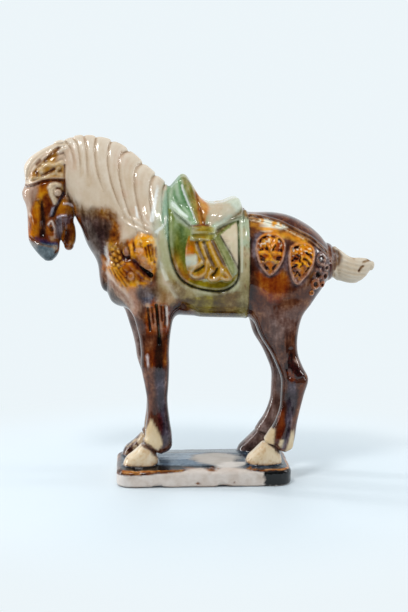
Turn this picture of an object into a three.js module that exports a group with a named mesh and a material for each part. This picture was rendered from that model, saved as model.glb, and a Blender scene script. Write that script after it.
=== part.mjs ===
// A slip-cast, glazed earthenware horse in the manner of the three-colour tomb
// figures: head bowed, saddled, standing on a low rounded plinth. Horse and
// plinth are one casting, so the part is one closed body.
// Millimetres, +Z up. The origin is the middle of the plinth's underside, the
// horse faces -X and its left side is towards -Y.
import * as THREE from "three";

// ---- named sizes, mm ----
const PLINTH_LENGTH = 98.6; // along X
const PLINTH_WIDTH = 53; // along Y
const PLINTH_CORNER = 9; // plan radius
const PLINTH_EDGE = 9.4; // height of the top at its rim
const PLINTH_CROWN = 2.2; // extra height in the middle
const PLINTH_ARRIS = 3; // rounding of the top edge
const HORSE_SETBACK = 1; // the horse stands this far behind the plinth's centre line
const LEG_Y = 13; // each leg's centre plane from the horse's middle plane
const GRID = 1.5; // cell of the surfacing grid
const FACES = 9600; // triangles kept
const BLEND = { neck: 9, legs: 7, jaw: 2, head: 1.6, hoof: 1.5, tail: 3, saddle: 2, plinth: 1.2 };

// ---- small helpers ----
const clamp = (v, a, b) => (v < a ? a : v > b ? b : v);
const step = (a, b, v) => {
  const t = clamp((v - a) / (b - a), 0, 1);
  return t * t * (3 - 2 * t);
};
const blend = (a, b, k) => {
  const h = Math.max(k - Math.abs(a - b), 0) / k;
  return Math.min(a, b) - h * h * k * 0.25;
};
const table = (xs, ys, v) => {
  if (v <= xs[0]) return ys[0];
  for (let i = 1; i < xs.length; i++)
    if (v < xs[i]) return ys[i - 1] + ((ys[i] - ys[i - 1]) * (v - xs[i - 1])) / (xs[i] - xs[i - 1]);
  return ys[ys.length - 1];
};

// ---- a loft: superelliptic sections strung between two outlines in the XZ plane ----
// A section is [ax, az, bx, bz, halfWidth, centreY, egg, power].
const across = (rows, power, y = 0, egg = 0) => rows.map(([x, top, low, hw]) => [x, low, x, top, hw, y, egg, power]);
const upright = (rows, power, y = 0) => rows.map(([z, x0, x1, hw, cy = y]) => [x0, z, x1, z, hw, cy, 0, power]);

function loft(sections, fill, cap0, cap1) {
  const rows = [];
  const n = sections.length;
  for (let i = 0; i < n - 1; i++)
    for (let k = 0; k < fill; k++) {
      const t = k / fill;
      rows.push(
        sections[i].map((p1, c) => {
          const p2 = sections[i + 1][c];
          const p0 = sections[Math.max(i - 1, 0)][c];
          const p3 = sections[Math.min(i + 2, n - 1)][c];
          const m1 = i === 0 ? p2 - p1 : (p2 - p0) / 2;
          const m2 = i === n - 2 ? p2 - p1 : (p3 - p1) / 2;
          return (2 * t ** 3 - 3 * t * t + 1) * p1 + (t ** 3 - 2 * t * t + t) * m1 + (3 * t * t - 2 * t ** 3) * p2 + (t ** 3 - t * t) * m2;
        }),
      );
    }
  rows.push(sections[n - 1]);
  const K = rows.length;
  const len = rows.map((r) => Math.hypot(r[2] - r[0], r[3] - r[1]));
  const mid = (r) => [(r[0] + r[2]) / 2, (r[1] + r[3]) / 2];
  const [m0, m1] = [mid(rows[0]), mid(rows[1])];
  const sign = (rows[0][2] - rows[0][0]) * (m1[1] - m0[1]) - (rows[0][3] - rows[0][1]) * (m1[0] - m0[0]) > 0 ? 1 : -1;
  const reach = 12;
  const lo = [1e9, 1e9, 1e9];
  const hi = [-1e9, -1e9, -1e9];
  for (const r of rows) {
    lo[0] = Math.min(lo[0], r[0], r[2]);
    hi[0] = Math.max(hi[0], r[0], r[2]);
    lo[2] = Math.min(lo[2], r[1], r[3]);
    hi[2] = Math.max(hi[2], r[1], r[3]);
    lo[1] = Math.min(lo[1], r[5] - r[4]);
    hi[1] = Math.max(hi[1], r[5] + r[4]);
  }
  lo[0] -= reach + cap0; lo[2] -= reach + cap0; lo[1] -= reach;
  hi[0] += reach + cap1; hi[2] += reach + cap1; hi[1] += reach;
  const along = (k, x, z) => {
    const r = rows[k];
    return (sign * ((r[2] - r[0]) * (z - r[1]) - (r[3] - r[1]) * (x - r[0]))) / len[k];
  };
  return (x, y, z) => {
    if (x < lo[0] || x > hi[0] || y < lo[1] || y > hi[1] || z < lo[2] || z > hi[2]) return 30;
    let i = -1;
    let h0 = along(0, x, z);
    const first = h0;
    let best = 1e9;
    let s0 = 0, s1 = 1;
    let prev = h0;
    for (let k = 1; k < K; k++) {
      const h = along(k, x, z);
      if (prev >= 0 && h < 0) {
        const c = mid(rows[k]);
        const d = (c[0] - x) ** 2 + (c[1] - z) ** 2;
        if (d < best) { best = d; i = k - 1; s0 = prev; s1 = h; }
      }
      prev = h;
    }
    let t, w = 0, cap = 1;
    if (i >= 0) t = clamp(s0 / (s0 - s1), 0, 1);
    else if (first < 0) { i = 0; t = 0; cap = cap0; w = -first / cap0; }
    else { i = K - 2; t = 1; cap = cap1; w = Math.max(prev / cap1, 0); }
    const a = rows[i], b = rows[i + 1];
    const L = (c) => a[c] + (b[c] - a[c]) * t;
    const ax = L(0), az = L(1), dx = L(2) - ax, dz = L(3) - az;
    const l2 = dx * dx + dz * dz;
    const u = (2 * ((x - ax) * dx + (z - az) * dz)) / l2 - 1;
    const R = Math.sqrt(l2) / 2;
    const half = L(4) * clamp(1 - L(6) * u, 0.2, 2);
    const v = (y - L(5)) / half;
    const p = L(7);
    const pu = Math.abs(u) ** p, pv = Math.abs(v) ** p, pw = w ** p;
    const g = Math.max((pu + pv + pw) ** (1 / p), 1e-6);
    const q = g ** (1 - p);
    const gr = Math.hypot((q * Math.abs(u) ** (p - 1)) / R, (q * Math.abs(v) ** (p - 1)) / half, (q * w ** (p - 1)) / cap);
    return (g - 1) / Math.max(gr, 1 / 60);
  };
}

// ---- the body's sections ----
// trunk: [x, top, bottom, half width]
const TRUNK = across(
  [
    [-54, 121, 108, 8], [-51.6, 131.5, 102.8, 13.5], [-47.5, 142, 100.3, 18], [-40.7, 150.7, 98.2, 20.5],
    [-29.4, 156.3, 95.2, 22.5], [-17, 158, 94.2, 23.5], [-1.3, 155.1, 93.3, 24.5], [13.4, 153.4, 92.9, 25],
    [27, 152.2, 92.8, 25], [39.5, 152.1, 95, 25.5], [49.8, 150.1, 99.5, 25], [58.9, 145.5, 103.6, 23],
    [65.8, 140.1, 107.4, 19], [70.5, 134.4, 113, 14],
  ], 2.25);
// neck: throat x, z, crest x, z, half width, narrowing towards the crest
const NECK = [
  [-74, 158.8, -82.5, 188.6, 8, 0.15], [-71, 149.2, -70.6, 195.2, 11, 0.4], [-68.3, 143.8, -56, 194.2, 12.6, 0.5],
  [-64.9, 134.5, -43.2, 188.8, 14.2, 0.5], [-59.6, 125.6, -31.8, 179, 16.2, 0.45], [-53.6, 115.6, -21.3, 169.2, 19, 0.35],
  [-49, 105.7, -12.5, 159.1, 21, 0.2],
].map(([a, b, c, d, hw, egg]) => [a, b, c, d, hw, 0, egg, 2.1]);
// head, jaw, legs and hooves: [z, front x, back x, half width]
const HEAD = upright(
  [
    [190.8, -82.8, -70, 4.2], [188.3, -88.3, -72, 6.2], [185, -94, -74, 7.6], [181.5, -97.8, -75.5, 8.6],
    [177.6, -99.7, -76.2, 9.3], [173, -99.2, -76.2, 10.2], [168, -99.2, -76.4, 11.2], [164.3, -100.9, -76.8, 11.8],
    [160.8, -100.6, -77.4, 11.8], [157, -99.1, -78, 11.2], [152, -98.3, -79, 10.2], [145, -98.1, -79.8, 8.6],
    [139, -97.9, -80.2, 7.7], [135.6, -97.1, -80.2, 8], [132.2, -94.9, -80.4, 7.6], [129.8, -93.1, -80.9, 6.8],
    [127.5, -91, -82.3, 5.8], [125.9, -89.1, -84, 4.4],
  ], 2.2);
const JAW = upright(
  [
    [159.3, -85.5, -70.9, 8.5], [153.7, -85.5, -70.8, 9.4], [148.1, -83.4, -72.3, 8.4], [144.2, -81, -71.5, 6.6],
    [140.2, -79.8, -71.1, 5.6], [136.2, -79, -71.4, 5.4], [134, -78, -72.4, 4.6],
  ], 2.1);
const FORELEG = upright(
  [
    [112.7, -47.7, -12, 9.5, 1 - LEG_Y], [98, -40.3, -16.1, 9.2], [84.9, -36.4, -18.5, 8.1], [75, -35.2, -19.3, 7.9],
    [66.7, -35.2, -19.2, 7.9], [56, -33.2, -19.7, 6.6], [47.2, -31.9, -20.3, 6.2], [38, -31.9, -19.5, 6.3],
    [29, -33, -18.1, 7.1], [22.5, -32.9, -17.7, 7.3],
  ], 2.2, -LEG_Y);
const HINDLEG = upright(
  [
    [121.8, 29.5, 69.5, 13, 2 - LEG_Y], [103.7, 26.2, 62, 11.8, 1 - LEG_Y], [94.7, 27.7, 55.9, 10.4, 0.5 - LEG_Y],
    [83.8, 31.6, 53.2, 8.5], [73.5, 37.9, 53.3, 7.2], [65.5, 41.6, 56.2, 6.9], [58.5, 43.9, 59.4, 7.1],
    [50, 43.9, 57.2, 6.3], [41.7, 43.2, 55.1, 6.1], [33, 40, 53.2, 6.6], [25.6, 35.4, 52.2, 7.3], [20.5, 36, 51.2, 7],
  ], 2.2, -LEG_Y);
const FOREHOOF = upright(
  [[23.5, -34, -29, 5.5], [20, -37.2, -27, 6.8], [17, -40.6, -26, 7.5], [14, -44.2, -25.6, 8], [8, -46.4, -26, 8.4]], 2.4, -LEG_Y);
const HINDHOOF = upright(
  [[23.5, 34.6, 40.5, 5.5], [20, 31, 42.3, 6.8], [17, 27.9, 43.5, 7.5], [14, 24.9, 44.3, 8], [8, 22.6, 45, 8.4]], 2.4, -LEG_Y);
const TAIL = [
  [64, 118.5, 64, 133.5, 5], [70.7, 116.2, 70.5, 133, 5], [77.6, 113.1, 77.4, 131.2, 5], [84.5, 111.3, 84.3, 126.5, 4.6],
  [89, 112, 90, 125.8, 3.8], [93, 114.8, 94.6, 125.3, 2.8], [95.8, 118.6, 96.8, 124, 1.6],
].map(([a, b, c, d, hw]) => [a, b, c, d, hw, 0, 0, 2.2]);
// saddle: [x, top, bottom, half width]; the bottom lies inside the trunk
const SADDLE = across(
  [
    [-19, 166, 140, 9.5], [-17, 168.4, 140, 10.2], [-14.8, 171, 140, 10.8], [-12.6, 173.4, 140, 11.2], [-10.8, 173.9, 140, 11.5],
    [-8.9, 172.9, 140, 12], [-6.9, 170, 140, 13], [-4.6, 166.2, 140, 14.5], [-1.3, 160.9, 140, 16], [2.1, 158.3, 140, 17],
    [6.6, 157.5, 140, 17.5], [11.2, 158.1, 140, 17.5], [14.6, 159.6, 140, 17.2], [17.9, 160.8, 140, 16.8], [20, 160.4, 140, 16.4],
    [21.3, 158, 140, 16], [22.2, 154, 140, 15],
  ], 2.5);

const trunk = loft(TRUNK, 4, 3.5, 5);
const neck = loft(NECK, 5, 5, 8);
const head = loft(HEAD, 3, 2.2, 0.7);
const jaw = loft(JAW, 4, 5, 3);
const foreleg = loft(FORELEG, 4, 8, 6);
const hindleg = loft(HINDLEG, 4, 8, 4);
const forehoof = loft(FOREHOOF, 3, 2, 3);
const hindhoof = loft(HINDHOOF, 3, 2, 3);
const tail = loft(TAIL, 4, 3, 2);
const saddle = loft(SADDLE, 2, 2.2, 2.4);

// the far legs stand a little further forward than the near ones
const foreShift = (z) => -0.5 * (1 - step(20, 36, z)) - 4.6 * step(48, 92, z);
const hindShift = (z) => -3 + 1.5 * step(78, 90, z);

function plinth(x, y, z) {
  const qx = Math.abs(x) - (PLINTH_LENGTH / 2 - PLINTH_CORNER);
  const qy = Math.abs(y + HORSE_SETBACK) - (PLINTH_WIDTH / 2 - PLINTH_CORNER);
  const rim = Math.hypot(Math.max(qx, 0), Math.max(qy, 0)) + Math.min(Math.max(qx, qy), 0) - PLINTH_CORNER;
  const top = PLINTH_EDGE + PLINTH_CROWN * step(0, 20, -rim);
  return Math.max(-blend(-rim, top - z, PLINTH_ARRIS), -z);
}

function body(x, y, z) {
  let f = blend(trunk(x, y, z), neck(x, y, z), BLEND.neck);
  f = blend(f, blend(head(x, y, z), jaw(x, y, z), BLEND.jaw), BLEND.head);
  for (const [side, df, dh] of [[1, 0, 0], [-1, foreShift(z), hindShift(z)]]) {
    f = blend(f, foreleg(x - df, y * side, z), BLEND.legs);
    f = blend(f, hindleg(x - dh, y * side, z), BLEND.legs);
    f = blend(f, forehoof(x - df, y * side, z), BLEND.hoof);
    f = blend(f, hindhoof(x - dh, y * side, z), BLEND.hoof);
  }
  f = blend(f, tail(x, y, z), BLEND.tail);
  f = blend(f, saddle(x, y, z), BLEND.saddle);
  return blend(f, plinth(x, y, z), BLEND.plinth);
}

// ---- carving: heights over the body, drawn in the side view ----
const segment = (x, z, [ax, az], [bx, bz]) => {
  const dx = bx - ax, dz = bz - az;
  const t = clamp(((x - ax) * dx + (z - az) * dz) / (dx * dx + dz * dz), 0, 1);
  return Math.hypot(x - ax - t * dx, z - az - t * dz);
};
const line = (x, z, pts) => {
  let d = 1e3;
  for (let i = 1; i < pts.length; i++) d = Math.min(d, segment(x, z, pts[i - 1], pts[i]));
  return d;
};
const inside = (x, z, pts) => {
  const d = Math.min(line(x, z, pts), segment(x, z, pts[pts.length - 1], pts[0]));
  let odd = false;
  for (let i = 0, j = pts.length - 1; i < pts.length; j = i++) {
    const [x0, z0] = pts[i], [x1, z1] = pts[j];
    if (z0 > z !== z1 > z && x < ((x1 - x0) * (z - z0)) / (z1 - z0) + x0) odd = !odd;
  }
  return odd ? -d : d;
};
const ridge = (d, w) => Math.exp(-((d / w) ** 2));
const plate = (d, r) => step(0, 1, 0.5 - d / (2 * r));

const PANEL = [[-19.6, 171], [-19.5, 155.4], [-19.7, 141.2], [-19.1, 132.8], [-16.6, 123], [-12.4, 116.4], [-5.9, 112.5], [1.9, 110.5], [9.1, 110.1], [14.3, 112], [17.9, 115.6], [19, 120.5], [19, 134.5], [18.9, 148.6]];
const BLANKET = [[-19, 178], [-21, 170.4], [-23.8, 155.1], [-25.5, 138.6], [-23.9, 126.4], [-20.1, 115.3], [-14.6, 106.4], [-5, 98], [-2, 85], [24.4, 85], [24.9, 116.4], [25.1, 138.6], [25.5, 157.8], [25.8, 178]];
const DRAPE = [[-19.5, 178], [-19.9, 159], [-16.7, 154], [-6.8, 146], [-6.8, 142], [5.8, 142], [6.4, 145.2], [13, 147.9], [21, 151.4], [23.5, 157], [24, 178]];
const FLAP = [[-13.8, 178], [-17.6, 168], [-17.1, 160.4], [-12.2, 151.6], [-6.4, 145], [-2.5, 145], [-6.4, 161.5], [-9.5, 178]];
const BAND = [[-7.6, 146], [2.6, 146.3], [6.6, 145], [5.4, 139], [-7.8, 138.7]];
const CLOTH = [[-8.6, 141], [-10.4, 134], [-10.5, 128.2], [-8.7, 119.9], [-5.9, 117.5], [1, 117.4], [7.1, 116], [12.6, 116], [15.3, 117.4], [9.1, 130.7], [5.4, 138.5]];
const RIBS = [[[-5.9, 138.6], [-3.6, 132.6], [-0.9, 126.8]], [[-2.3, 138.6], [0.3, 131.2], [2.9, 125.2]], [[1.9, 138.6], [5.8, 129.2], [10.1, 121.6]]];
const CRUPPER = [[25.5, 151], [36, 148.6], [48, 143.3], [60.2, 136.7], [68, 130.6]];
const PENDANTS = [[[36.4, 142.2], [36, 118.9], 8.3], [[54.6, 137], [51, 113.8], 7.6]];
const STUDS = [[65, 127.2, 3.2], [63.2, 119, 2.9], [61.8, 113.4, 2.7], [68.4, 122.6, 1.8], [67.4, 117.8, 2.1], [66.2, 112.8, 1.8]];
const FAN = [[-42.2, 135.7], [-37.3, 140.3], [-34.8, 141.9], [-31.5, 141.1], [-26.1, 135.7], [-25.5, 132.3], [-27.4, 125.7], [-29.1, 122.4], [-31.6, 121.8], [-36.5, 125.8], [-42.3, 131.8]];
const FAN_EDGE = [[-42.8, 129.2], [-38.6, 127.2], [-34.8, 123.6], [-29.5, 119.3]];
const BOSSES = [[-49, 135.4], [-50.6, 131.4], [-47.4, 132.2], [-48.4, 127.2], [-45.2, 126], [-43.2, 132.3], [-40.7, 119.3]];
const TASSEL = [[-53, 121.9], [-48.2, 113.2], [-43.4, 112.4], [-41.6, 114.8], [-46, 122.6]];
const CHEEK = [[-76.6, 179], [-76.9, 172.5], [-77.4, 163.2], [-79.3, 160], [-82.2, 154.7], [-83.9, 150.9]];
const BROW = [[-99.4, 167.9], [-95.6, 168.3], [-89.6, 170.9], [-84, 171.9], [-78, 171.6]];
const EAR = [[-79.5, 179], [-86.5, 176.2], [-92.6, 173.6]];
const LID = [[-86, 163.6], [-86.2, 166.8], [-82, 168.6], [-79.6, 167.8]];
const MOUTH = [[-77.6, 146.6], [-78.9, 137.8], [-80.5, 133], [-82.6, 130.4]];
const LOCK = [[-75.8, 191.4], [-82.3, 189.4], [-89.4, 185.3], [-94.8, 180.3], [-97.2, 175]];
const MANE = [-86, -79.5, -73, -66.2, -59.2, -50.4, -41.3, -33, -25.4, -19.5]; // where the locks part along the crest

// the mane's locks fall from the crest in long curves, leaning forward towards the head
function mane(x, z) {
  const top = x > -45 ? 189.2 - (x + 45) * 0.8 : 195.4 - 0.0125 * (x + 66) ** 2 * (x > -66 ? 1 : 0.6);
  const d = Math.max(top - z, 0);
  let xc = x;
  for (let i = 0; i < 6; i++) {
    const lean = table([-86, -78, -71, -64, -59, -51.6, -41, -32.6, -25, -19], [11, 8.5, 4.2, 0.8, -1.5, -3.2, -7.2, -6.4, -5.2, -4], xc);
    const sweep = table([-68, -60, -41, -32, -25], [0, 8.5, 8.2, 6.5, 4.5], xc) * (Math.min(d, 40) / 35) ** 2.5;
    xc = x - (lean * (1 - Math.exp(-d / 6)) + sweep);
  }
  if (xc <= MANE[0] || xc >= MANE[MANE.length - 1]) return 0;
  let i = 0;
  while (xc >= MANE[i + 1]) i++;
  const ph = (xc - MANE[i]) / (MANE[i + 1] - MANE[i]);
  const reach = table([-86, -78, -64, -55, -47, -38, -31, -19], [14, 20, 27, 34, 39, 40, 38, 34], xc);
  const pillow = 1 - Math.abs(2 * ph - 1) ** 3;
  return (pillow - 0.65) * 0.9 * step(1, 0, (d - reach * 0.72) / (reach * 0.38)) * clamp(step(-77.5, -74.5, x) + step(178, 184, z), 0, 1);
}

function carving(x, yy, z) {
  const y = Math.abs(yy);
  let h = 0;
  if (x < -12 && x > -90 && z > 135) h += mane(x, z);
  if (x > -28 && x < 28 && z > 84) {
    const cloth = inside(x, z, CLOTH);
    let o = 0.9 * plate(inside(x, z, BLANKET), 0.7);
    o += 1.5 * plate(inside(x, z, DRAPE), 0.9) * step(158, 150, z);
    o += 1 * plate(inside(x, z, FLAP), 0.8) * step(176, 170, z);
    o += plate(cloth, 0.7) + 1.3 * plate(inside(x, z, BAND), 0.8);
    for (const rib of RIBS) o += 0.9 * ridge(line(x, z, rib), 1.2) * plate(cloth, 0.8);
    const groove = line(x, z, PANEL);
    o += -1.3 * ridge(groove, 1.1);
    h += o * step(4, 9, y);
  }
  if (x > 24 && z > 108 && z < 155) {
    let o = 0.8 * ridge(line(x, z, CRUPPER), 1.3);
    for (const [[ax, az], [bx, bz], width] of PENDANTS) {
      const L = Math.hypot(bx - ax, bz - az);
      const ex = (bx - ax) / L, ez = (bz - az) / L;
      const u = ((x - ax) * ex + (z - az) * ez) / L;
      const v = (x - ax) * ez - (z - az) * ex;
      if (u < -0.1 || u > 1.1) continue;
      const round = Math.sqrt(clamp(1 - clamp((0.42 - u) / 0.42, 0, 1) ** 2.2, 0, 1));
      const point = u > 0.42 ? clamp(1 - clamp((u - 0.42) / 0.58, 0, 1) ** 1.6, 0, 1) ** 0.8 : 1;
      const edge = (Math.abs(v) - width * round * point) * 0.8;
      o += 1.5 * plate(edge, 0.7) - 0.9 * plate(edge + 3.4, 1.2) * (1 - ridge(Math.abs(v) , 1.5));
    }
    for (const [cx, cz, r] of STUDS) o += 1.3 * plate(Math.hypot(x - cx, z - cz) - r, 0.8);
    h += o * step(5, 9, y);
  }
  if (x > -58 && x < -18 && z > 104 && z < 152) {
    const fan = inside(x, z, FAN);
    const turn = Math.atan2(x + 33.5, z - 121);
    let o = 1.6 * plate(fan, 0.8) - 0.7 * plate(fan + 1, 0.8) * Math.abs(Math.sin(turn * 7.5)) ** 4 * step(5, 9, Math.hypot(x + 33.5, z - 121));
    o -= 1.5 * ridge(line(x, z, FAN_EDGE), 1.2);
    for (const [cx, cz] of BOSSES) o += ridge(Math.hypot(x - cx, z - cz), 1.9);
    o += plate(inside(x, z, TASSEL), 0.8);
    h += o * step(5, 9, y);
  }
  if (x < -68 && z > 122) {
    const cut = step(2.2, 5, y);
    let o = -1.5 * ridge(line(x, z, CHEEK), 1.1) * cut;
    o += (0.9 * ridge(line(x, z, BROW), 1.2) - 0.8 * ridge(line(x, z + 1.9, BROW), 1)) * cut;
    o += (1.4 * plate(Math.hypot(x + 80.4, z - 164) - 2, 1) + 0.9 * ridge(line(x, z, LID), 1.1)) * cut;
    const ear = line(x, z, EAR);
    o += (1.5 * plate(ear - 2.8, 1) - 0.9 * plate(ear - 1, 0.8)) * cut;
    o += -0.9 * ridge(line(x, z, LOCK), 1) * step(0.5, 3, y);
    o += -0.9 * ridge(line(x, z, [[-89.3, 156], [-89.1, 141]]), 1.6) * step(4, 8, y);
    o += 1.2 * plate(Math.hypot(x + 84.4, (z - 142.8) / 1.7) - 2.8, 1) * cut;
    o += -1 * ridge(line(x, z, MOUTH), 0.9) * cut;
    h += o;
  }
  if (x > 68 && z > 105 && z < 140) h -= 0.9 * ridge(line(x, z, [[74.6, 133], [73.4, 127], [75, 114]]), 1.1);
  if (z > 15 && z < 26) h -= 0.8 * Math.max(ridge(line(x, z, [[-35.5, 23.2], [-25, 15.6]]), 1), ridge(line(x, z, [[34.6, 22.6], [45, 16.4]]), 1));
  return h;
}
const field = (x, y, z) => {
  const f = body(x, y, z);
  return Math.abs(f) < 4 ? f - carving(x, y, z) : f;
};

// ---- surfacing: one vertex in every grid cell that the surface crosses ----
function surface(fn, lo, hi, cell) {
  const n = [0, 1, 2].map((k) => Math.ceil((hi[k] - lo[k]) / cell) + 1);
  const at = (i, j, k) => (k * n[1] + j) * n[0] + i;
  const val = new Float64Array(n[0] * n[1] * n[2]);
  for (let k = 0; k < n[2]; k++)
    for (let j = 0; j < n[1]; j++)
      for (let i = 0; i < n[0]; i++) val[at(i, j, k)] = fn(lo[0] + i * cell, lo[1] + j * cell, lo[2] + k * cell) || 1e-9;
  const corners = [0, 1, 2, 3, 4, 5, 6, 7].map((c) => [c & 1, (c >> 1) & 1, c >> 2]);
  const edges = [];
  for (let a = 0; a < 8; a++) for (const bit of [1, 2, 4]) if (!(a & bit)) edges.push([a, a | bit]);
  // a cell whose solid corners, or whose empty ones, don't hang together would
  // join two sheets at one vertex: its weakest stray corner changes sides
  const stray = (mask) => {
    const left = new Set([...corners.keys()].filter((c) => mask & (1 << c)));
    let least = null;
    let groups = 0;
    while (left.size) {
      const group = [];
      const todo = [left.values().next().value];
      left.delete(todo[0]);
      while (todo.length) {
        const c = todo.pop();
        group.push(c);
        for (const bit of [1, 2, 4]) if (left.delete(c ^ bit)) todo.push(c ^ bit);
      }
      groups++;
      if (!least || group.length < least.length) least = group;
    }
    return groups > 1 ? least : [];
  };
  const strays = [];
  for (let mask = 0; mask < 256; mask++) strays.push([...stray(mask), ...stray(255 ^ mask)]);
  for (let pass = 0, changed = 1; changed && pass < 30; pass++) {
    changed = 0;
    for (let k = 0; k < n[2] - 1; k++)
      for (let j = 0; j < n[1] - 1; j++)
        for (let i = 0; i < n[0] - 1; i++) {
          let mask = 0;
          for (let c = 0; c < 8; c++) if (val[at(i + corners[c][0], j + corners[c][1], k + corners[c][2])] < 0) mask |= 1 << c;
          if (!strays[mask].length) continue;
          const ids = strays[mask].map((c) => at(i + corners[c][0], j + corners[c][1], k + corners[c][2]));
          const weakest = ids.reduce((a, b) => (Math.abs(val[b]) < Math.abs(val[a]) ? b : a));
          val[weakest] = val[weakest] < 0 ? 0.02 * cell : -0.02 * cell;
          changed++;
        }
  }
  const points = [];
  const idOf = new Int32Array(val.length).fill(-1);
  for (let k = 0; k < n[2] - 1; k++)
    for (let j = 0; j < n[1] - 1; j++)
      for (let i = 0; i < n[0] - 1; i++) {
        const v = corners.map(([a, b, c]) => val[at(i + a, j + b, k + c)]);
        const signs = v.filter((s) => s < 0).length;
        if (signs === 0 || signs === 8) continue;
        let sx = 0, sy = 0, sz = 0, m = 0;
        for (const [a, b] of edges)
          if (v[a] < 0 !== v[b] < 0) {
            const t = v[a] / (v[a] - v[b]);
            sx += corners[a][0] + (corners[b][0] - corners[a][0]) * t;
            sy += corners[a][1] + (corners[b][1] - corners[a][1]) * t;
            sz += corners[a][2] + (corners[b][2] - corners[a][2]) * t;
            m++;
          }
        idOf[at(i, j, k)] = points.length;
        points.push([lo[0] + (i + sx / m) * cell, lo[1] + (j + sy / m) * cell, lo[2] + (k + sz / m) * cell]);
      }
  const faces = [];
  for (let k = 1; k < n[2] - 1; k++)
    for (let j = 1; j < n[1] - 1; j++)
      for (let i = 1; i < n[0] - 1; i++) {
        const here = val[at(i, j, k)] < 0;
        const turn = [
          [[1, 0, 0], [0, -1, 0], [0, 0, -1]],
          [[0, 1, 0], [0, 0, -1], [-1, 0, 0]],
          [[0, 0, 1], [-1, 0, 0], [0, -1, 0]],
        ];
        for (const [d, p, q] of turn) {
          if (val[at(i + d[0], j + d[1], k + d[2])] < 0 === here) continue;
          const ring = [[0, 0], [1, 0], [1, 1], [0, 1]].map(([s, t]) => idOf[at(i + p[0] * s + q[0] * t, j + p[1] * s + q[1] * t, k + p[2] * s + q[2] * t)]);
          if (!here) ring.reverse();
          const [a, b, c, e] = ring;
          const far = (s, t) => points[s].reduce((w, v, m) => w + (v - points[t][m]) ** 2, 0);
          if (far(a, c) < far(b, e)) faces.push([a, b, c], [a, c, e]);
          else faces.push([a, b, e], [b, c, e]);
        }
      }
  return { points, faces };
}

// moves every vertex onto the surface itself; the lowest ones become the flat underside
function settle(fn, points, foot) {
  const e = 0.05;
  for (const p of points) {
    if (p[2] < foot) {
      p[2] = 0;
      continue;
    }
    for (let pass = 0; pass < 3; pass++) {
      const f = fn(...p);
      const g = [0, 1, 2].map((k) => {
        const a = [...p], b = [...p];
        a[k] += e; b[k] -= e;
        return (fn(...a) - fn(...b)) / (2 * e);
      });
      const g2 = Math.max(g[0] ** 2 + g[1] ** 2 + g[2] ** 2, 0.25);
      const s = clamp(f / g2, -0.4, 0.4);
      for (let k = 0; k < 3; k++) p[k] -= s * g[k];
    }
    if (p[2] < 0) p[2] = 0;
  }
}

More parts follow.
